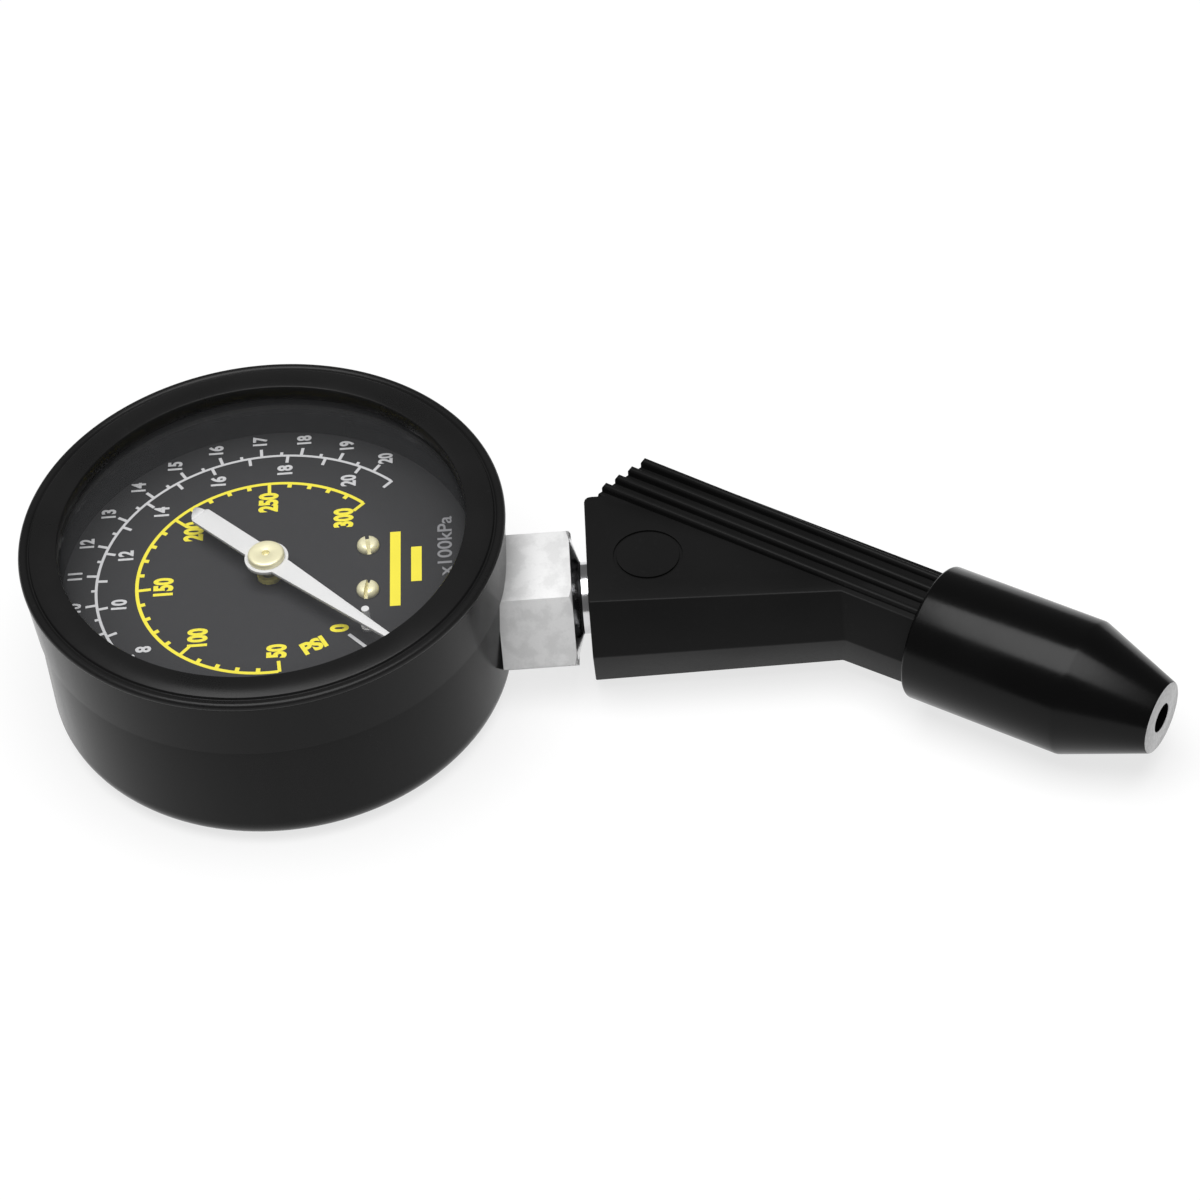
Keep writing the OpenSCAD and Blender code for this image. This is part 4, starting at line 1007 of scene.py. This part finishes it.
def band(radius, width, from_angle, to_angle):
    inner, outer = radius - width / 2, radius + width / 2
    strip = start(bpy.ops.mesh.primitive_circle_add, "band", vertices=360, radius=inner * MM,
                  location=(0, 0, DIAL_Z * MM))
    bpy.ops.object.mode_set(mode="EDIT")
    bpy.ops.mesh.select_all(action="SELECT")
    bpy.ops.mesh.extrude_edges_move()
    bpy.ops.transform.resize(value=(outer / inner, outer / inner, 1), center_override=(0, 0, 0))
    bpy.ops.object.mode_set(mode="OBJECT")
    choose(strip, "VERT", lambda p: not from_angle <= math.degrees(math.atan2(p.y, p.x)) % 360 <= to_angle)
    bpy.ops.mesh.delete(type="VERT")
    bpy.ops.mesh.select_all(action="SELECT")
    bpy.ops.mesh.normals_make_consistent(inside=False)
    bpy.ops.object.mode_set(mode="OBJECT")
    return apply_modifier(strip, "SOLIDIFY", thickness=INK * MM, offset=0)


def figure(words, x, y, height, turn_deg=90, stretch=1.0, bold=0.05):
    bpy.ops.object.select_all(action="DESELECT")
    bpy.ops.object.text_add()
    text = bpy.context.object
    text.data.body = words
    text.data.align_x = "CENTER"
    text.data.align_y = "CENTER"
    text.data.size = height * TYPE_SCALE * MM
    text.data.bevel_depth = bold * height * MM
    text.data.bevel_resolution = 0
    text.data.extrude = text.data.bevel_depth
    bpy.ops.object.convert(target="MESH")
    bpy.ops.object.transform_apply(location=True, rotation=True, scale=True)
    flatten = Matrix.Diagonal((stretch, 1, INK / (4 * bold * height), 1))
    return put(text, at(x, y, DIAL_Z + INK / 2) @ about("Z", math.radians(turn_deg)) @ flatten)


def polar(r, angle):
    return r * math.cos(math.radians(angle)), r * math.sin(math.radians(angle))


print("print helpers ready, ink", INK, "mm thick")

# %% [markdown]
# ## Yellow scale
# The inner scale runs from 50 to 300 pounds per square inch, with a zero of its own near the pointer's
# rest. Its marks stand inwards from a thin arc. Two plain bars lie below the middle.

# %% Yellow scale
YELLOW_R = 18.9
PSI_START = 275.5
PSI_STEP = 0.92
PSI_BOLD = 0.07
PSI_MARK_IN = 18.0
PSI_LONG_IN = 16.9
PSI_FIGURE_R = 15.0
PSI_ZERO_AT = (15.2, -48)
PSI_UNIT_AT = (15.8, -65.5)
YELLOW_BARS = (((17.1, -7.7), (18.6, 7.1)), ((20.1, -3.1), (21.6, 3.8)))


def psi_angle(psi):
    return PSI_START - (psi - 50) * PSI_STEP


yellow = [band(YELLOW_R, 0.5, psi_angle(300), PSI_START)]
for psi in range(50, 301, 10):
    angle = psi_angle(psi)
    if psi % 50:
        yellow.append(tick(angle, PSI_MARK_IN, YELLOW_R + 0.1, 0.62))
    else:
        yellow.append(tick(angle, PSI_LONG_IN, YELLOW_R + 0.1, 0.5))
        yellow.append(figure(str(psi), *polar(PSI_FIGURE_R, angle), 2.6, stretch=0.72, bold=PSI_BOLD))
yellow.append(figure("0", *polar(*PSI_ZERO_AT), 2.4, stretch=0.85, bold=PSI_BOLD))
yellow.append(figure("PSI", *polar(*PSI_UNIT_AT), 2.2, turn_deg=27, bold=PSI_BOLD))
for low, high in YELLOW_BARS:
    yellow.append(block("yellow_bar", (*low, DIAL_Z), (*high, DIAL_Z + INK)))
scale_yellow = join(*yellow)
scale_yellow.name = "scale_yellow"
hand_over(scale_yellow, yellow_ink, "gauge_body", "dial_black")

# %% [markdown]
# ## White scale
# The outer ring has figures on both sides, for two other units. The outer ones have a short mark half way
# between each pair, and only the even ones are printed inside. A long line marks where the pointer rests.

# %% White scale
WHITE_R = 24.7
WHITE_LINE = 0.45
OUTER_END = 53.8
OUTER_STEP = 13.42
HALF_STEP = 6.7
INNER_END = 58.9
INNER_STEP = 13.12
OUTER_MARK_R = 26.3
OUTER_FIGURE_R = 27.9
HALF_MARK_R = 25.4
INNER_MARK_R = 23.2
INNER_FIGURE_R = 21.5
END_MARK = 45.6
REST_MARK = -48.0
KPA_AT = (25.0, 3.6)

white = [band(WHITE_R, 0.4, END_MARK - 0.3, 314)]
for value in range(1, 21):
    angle = OUTER_END + (20 - value) * OUTER_STEP
    white.append(tick(angle, WHITE_R, OUTER_MARK_R, WHITE_LINE))
    white.append(figure(str(value), *polar(OUTER_FIGURE_R, angle), 2.0, stretch=0.78))
    if value < 20:
        white.append(tick(angle - HALF_STEP, WHITE_R - 0.2, HALF_MARK_R, WHITE_LINE))
for value in range(1, 21):
    angle = INNER_END + (20 - value) * INNER_STEP
    white.append(tick(angle, INNER_MARK_R, WHITE_R, WHITE_LINE))
    if value % 2 == 0:
        white.append(figure(str(value), *polar(INNER_FIGURE_R, angle), 2.1, stretch=0.8))
white.append(tick(END_MARK, INNER_MARK_R - 0.2, WHITE_R + 0.1, WHITE_LINE))
white.append(tick(REST_MARK, 17.0, WHITE_R, 0.5))
scale_white = join(*white)
scale_white.name = "scale_white"
hand_over(scale_white, white_ink, "gauge_body", "dial_black")

unit_mark = figure("x100kPa", *KPA_AT, 2.1, stretch=1.2, bold=0.015)
unit_mark.name = "unit_mark"
hand_over(unit_mark, grey_ink, "gauge_body", "dial_black")

# %% [markdown]
# ## Floor
# The gauge lies on a white sweep. The floor is plain white paint that takes the object's shadow. Most of
# what the camera and mirror-like surfaces see of it is a glow, which lifts it to the white of the page
# without lighting the object, and the rest keeps the shadow.

# %% Floor
FLOOR_SIZE = 6
FLOOR_AT = (0.04, 0, -0.00002)
FLOOR_TONE = 0.92
GLOW_SHARE = 0.75

floor = start(bpy.ops.mesh.primitive_plane_add, "floor", size=FLOOR_SIZE, location=FLOOR_AT)
sweep = Finish("floor_white")
rays = sweep.node("LightPath")
seen = rays + Value(sweep, rays.socket.node.outputs["Is Glossy Ray"])
seen = seen + Value(sweep, rays.socket.node.outputs["Is Transmission Ray"])
sweep.surface(base_color=grey(FLOOR_TONE), roughness=1.0, specular=0.0)
white_paint = Value(sweep, sweep.shader.outputs[0])
page_white = sweep.node("Emission", None, {"Color": (1, 1, 1, 1), "Strength": 1.0})
mixed = sweep.node("MixShader", None, {0: seen * GLOW_SHARE, 1: white_paint, 2: page_white})
sweep.feed(sweep.tree.nodes["Material Output"].inputs["Surface"], mixed)
floor.data.materials.append(sweep.material)
print("floor ready, glow share", GLOW_SHARE)

# %% [markdown]
# ## Light
# One large lamp overhead gives broad soft highlights. The room round it stays dim, so the rubber shows a
# dark band below its highlight, and only the camera sees the room as white.

# %% World and lamp
ROOM_LIGHT = 0.16
LAMP_AT = (0.0, -0.1, 0.9)
LAMP_AIM = (0.05, 0, 0)
LAMP_SIZE = (0.9, 0.7)
LAMP_WATTS = 11

world = bpy.data.worlds.new("studio")
bpy.context.scene.world = world
world.use_nodes = True
sky = world.node_tree
light_path = sky.nodes.new("ShaderNodeLightPath")
dim = sky.nodes["Background"]
dim.inputs["Color"].default_value = (1, 1, 1, 1)
dim.inputs["Strength"].default_value = ROOM_LIGHT
page = sky.nodes.new("ShaderNodeBackground")
page.inputs["Strength"].default_value = 1.0
mixer = sky.nodes.new("ShaderNodeMixShader")
sky.links.new(light_path.outputs["Is Camera Ray"], mixer.inputs[0])
sky.links.new(dim.outputs[0], mixer.inputs[1])
sky.links.new(page.outputs[0], mixer.inputs[2])
sky.links.new(mixer.outputs[0], sky.nodes["World Output"].inputs["Surface"])

overhead = bpy.data.lights.new("overhead", "AREA")
overhead.shape = "RECTANGLE"
overhead.size, overhead.size_y = LAMP_SIZE
overhead.energy = LAMP_WATTS
lamp = bpy.data.objects.new("overhead", overhead)
lamp.location = LAMP_AT
lamp.rotation_euler = (Vector(LAMP_AIM) - Vector(LAMP_AT)).to_track_quat("-Z", "Y").to_euler()
bpy.context.scene.collection.objects.link(lamp)
print("world and lamp ready,", LAMP_WATTS, "W")
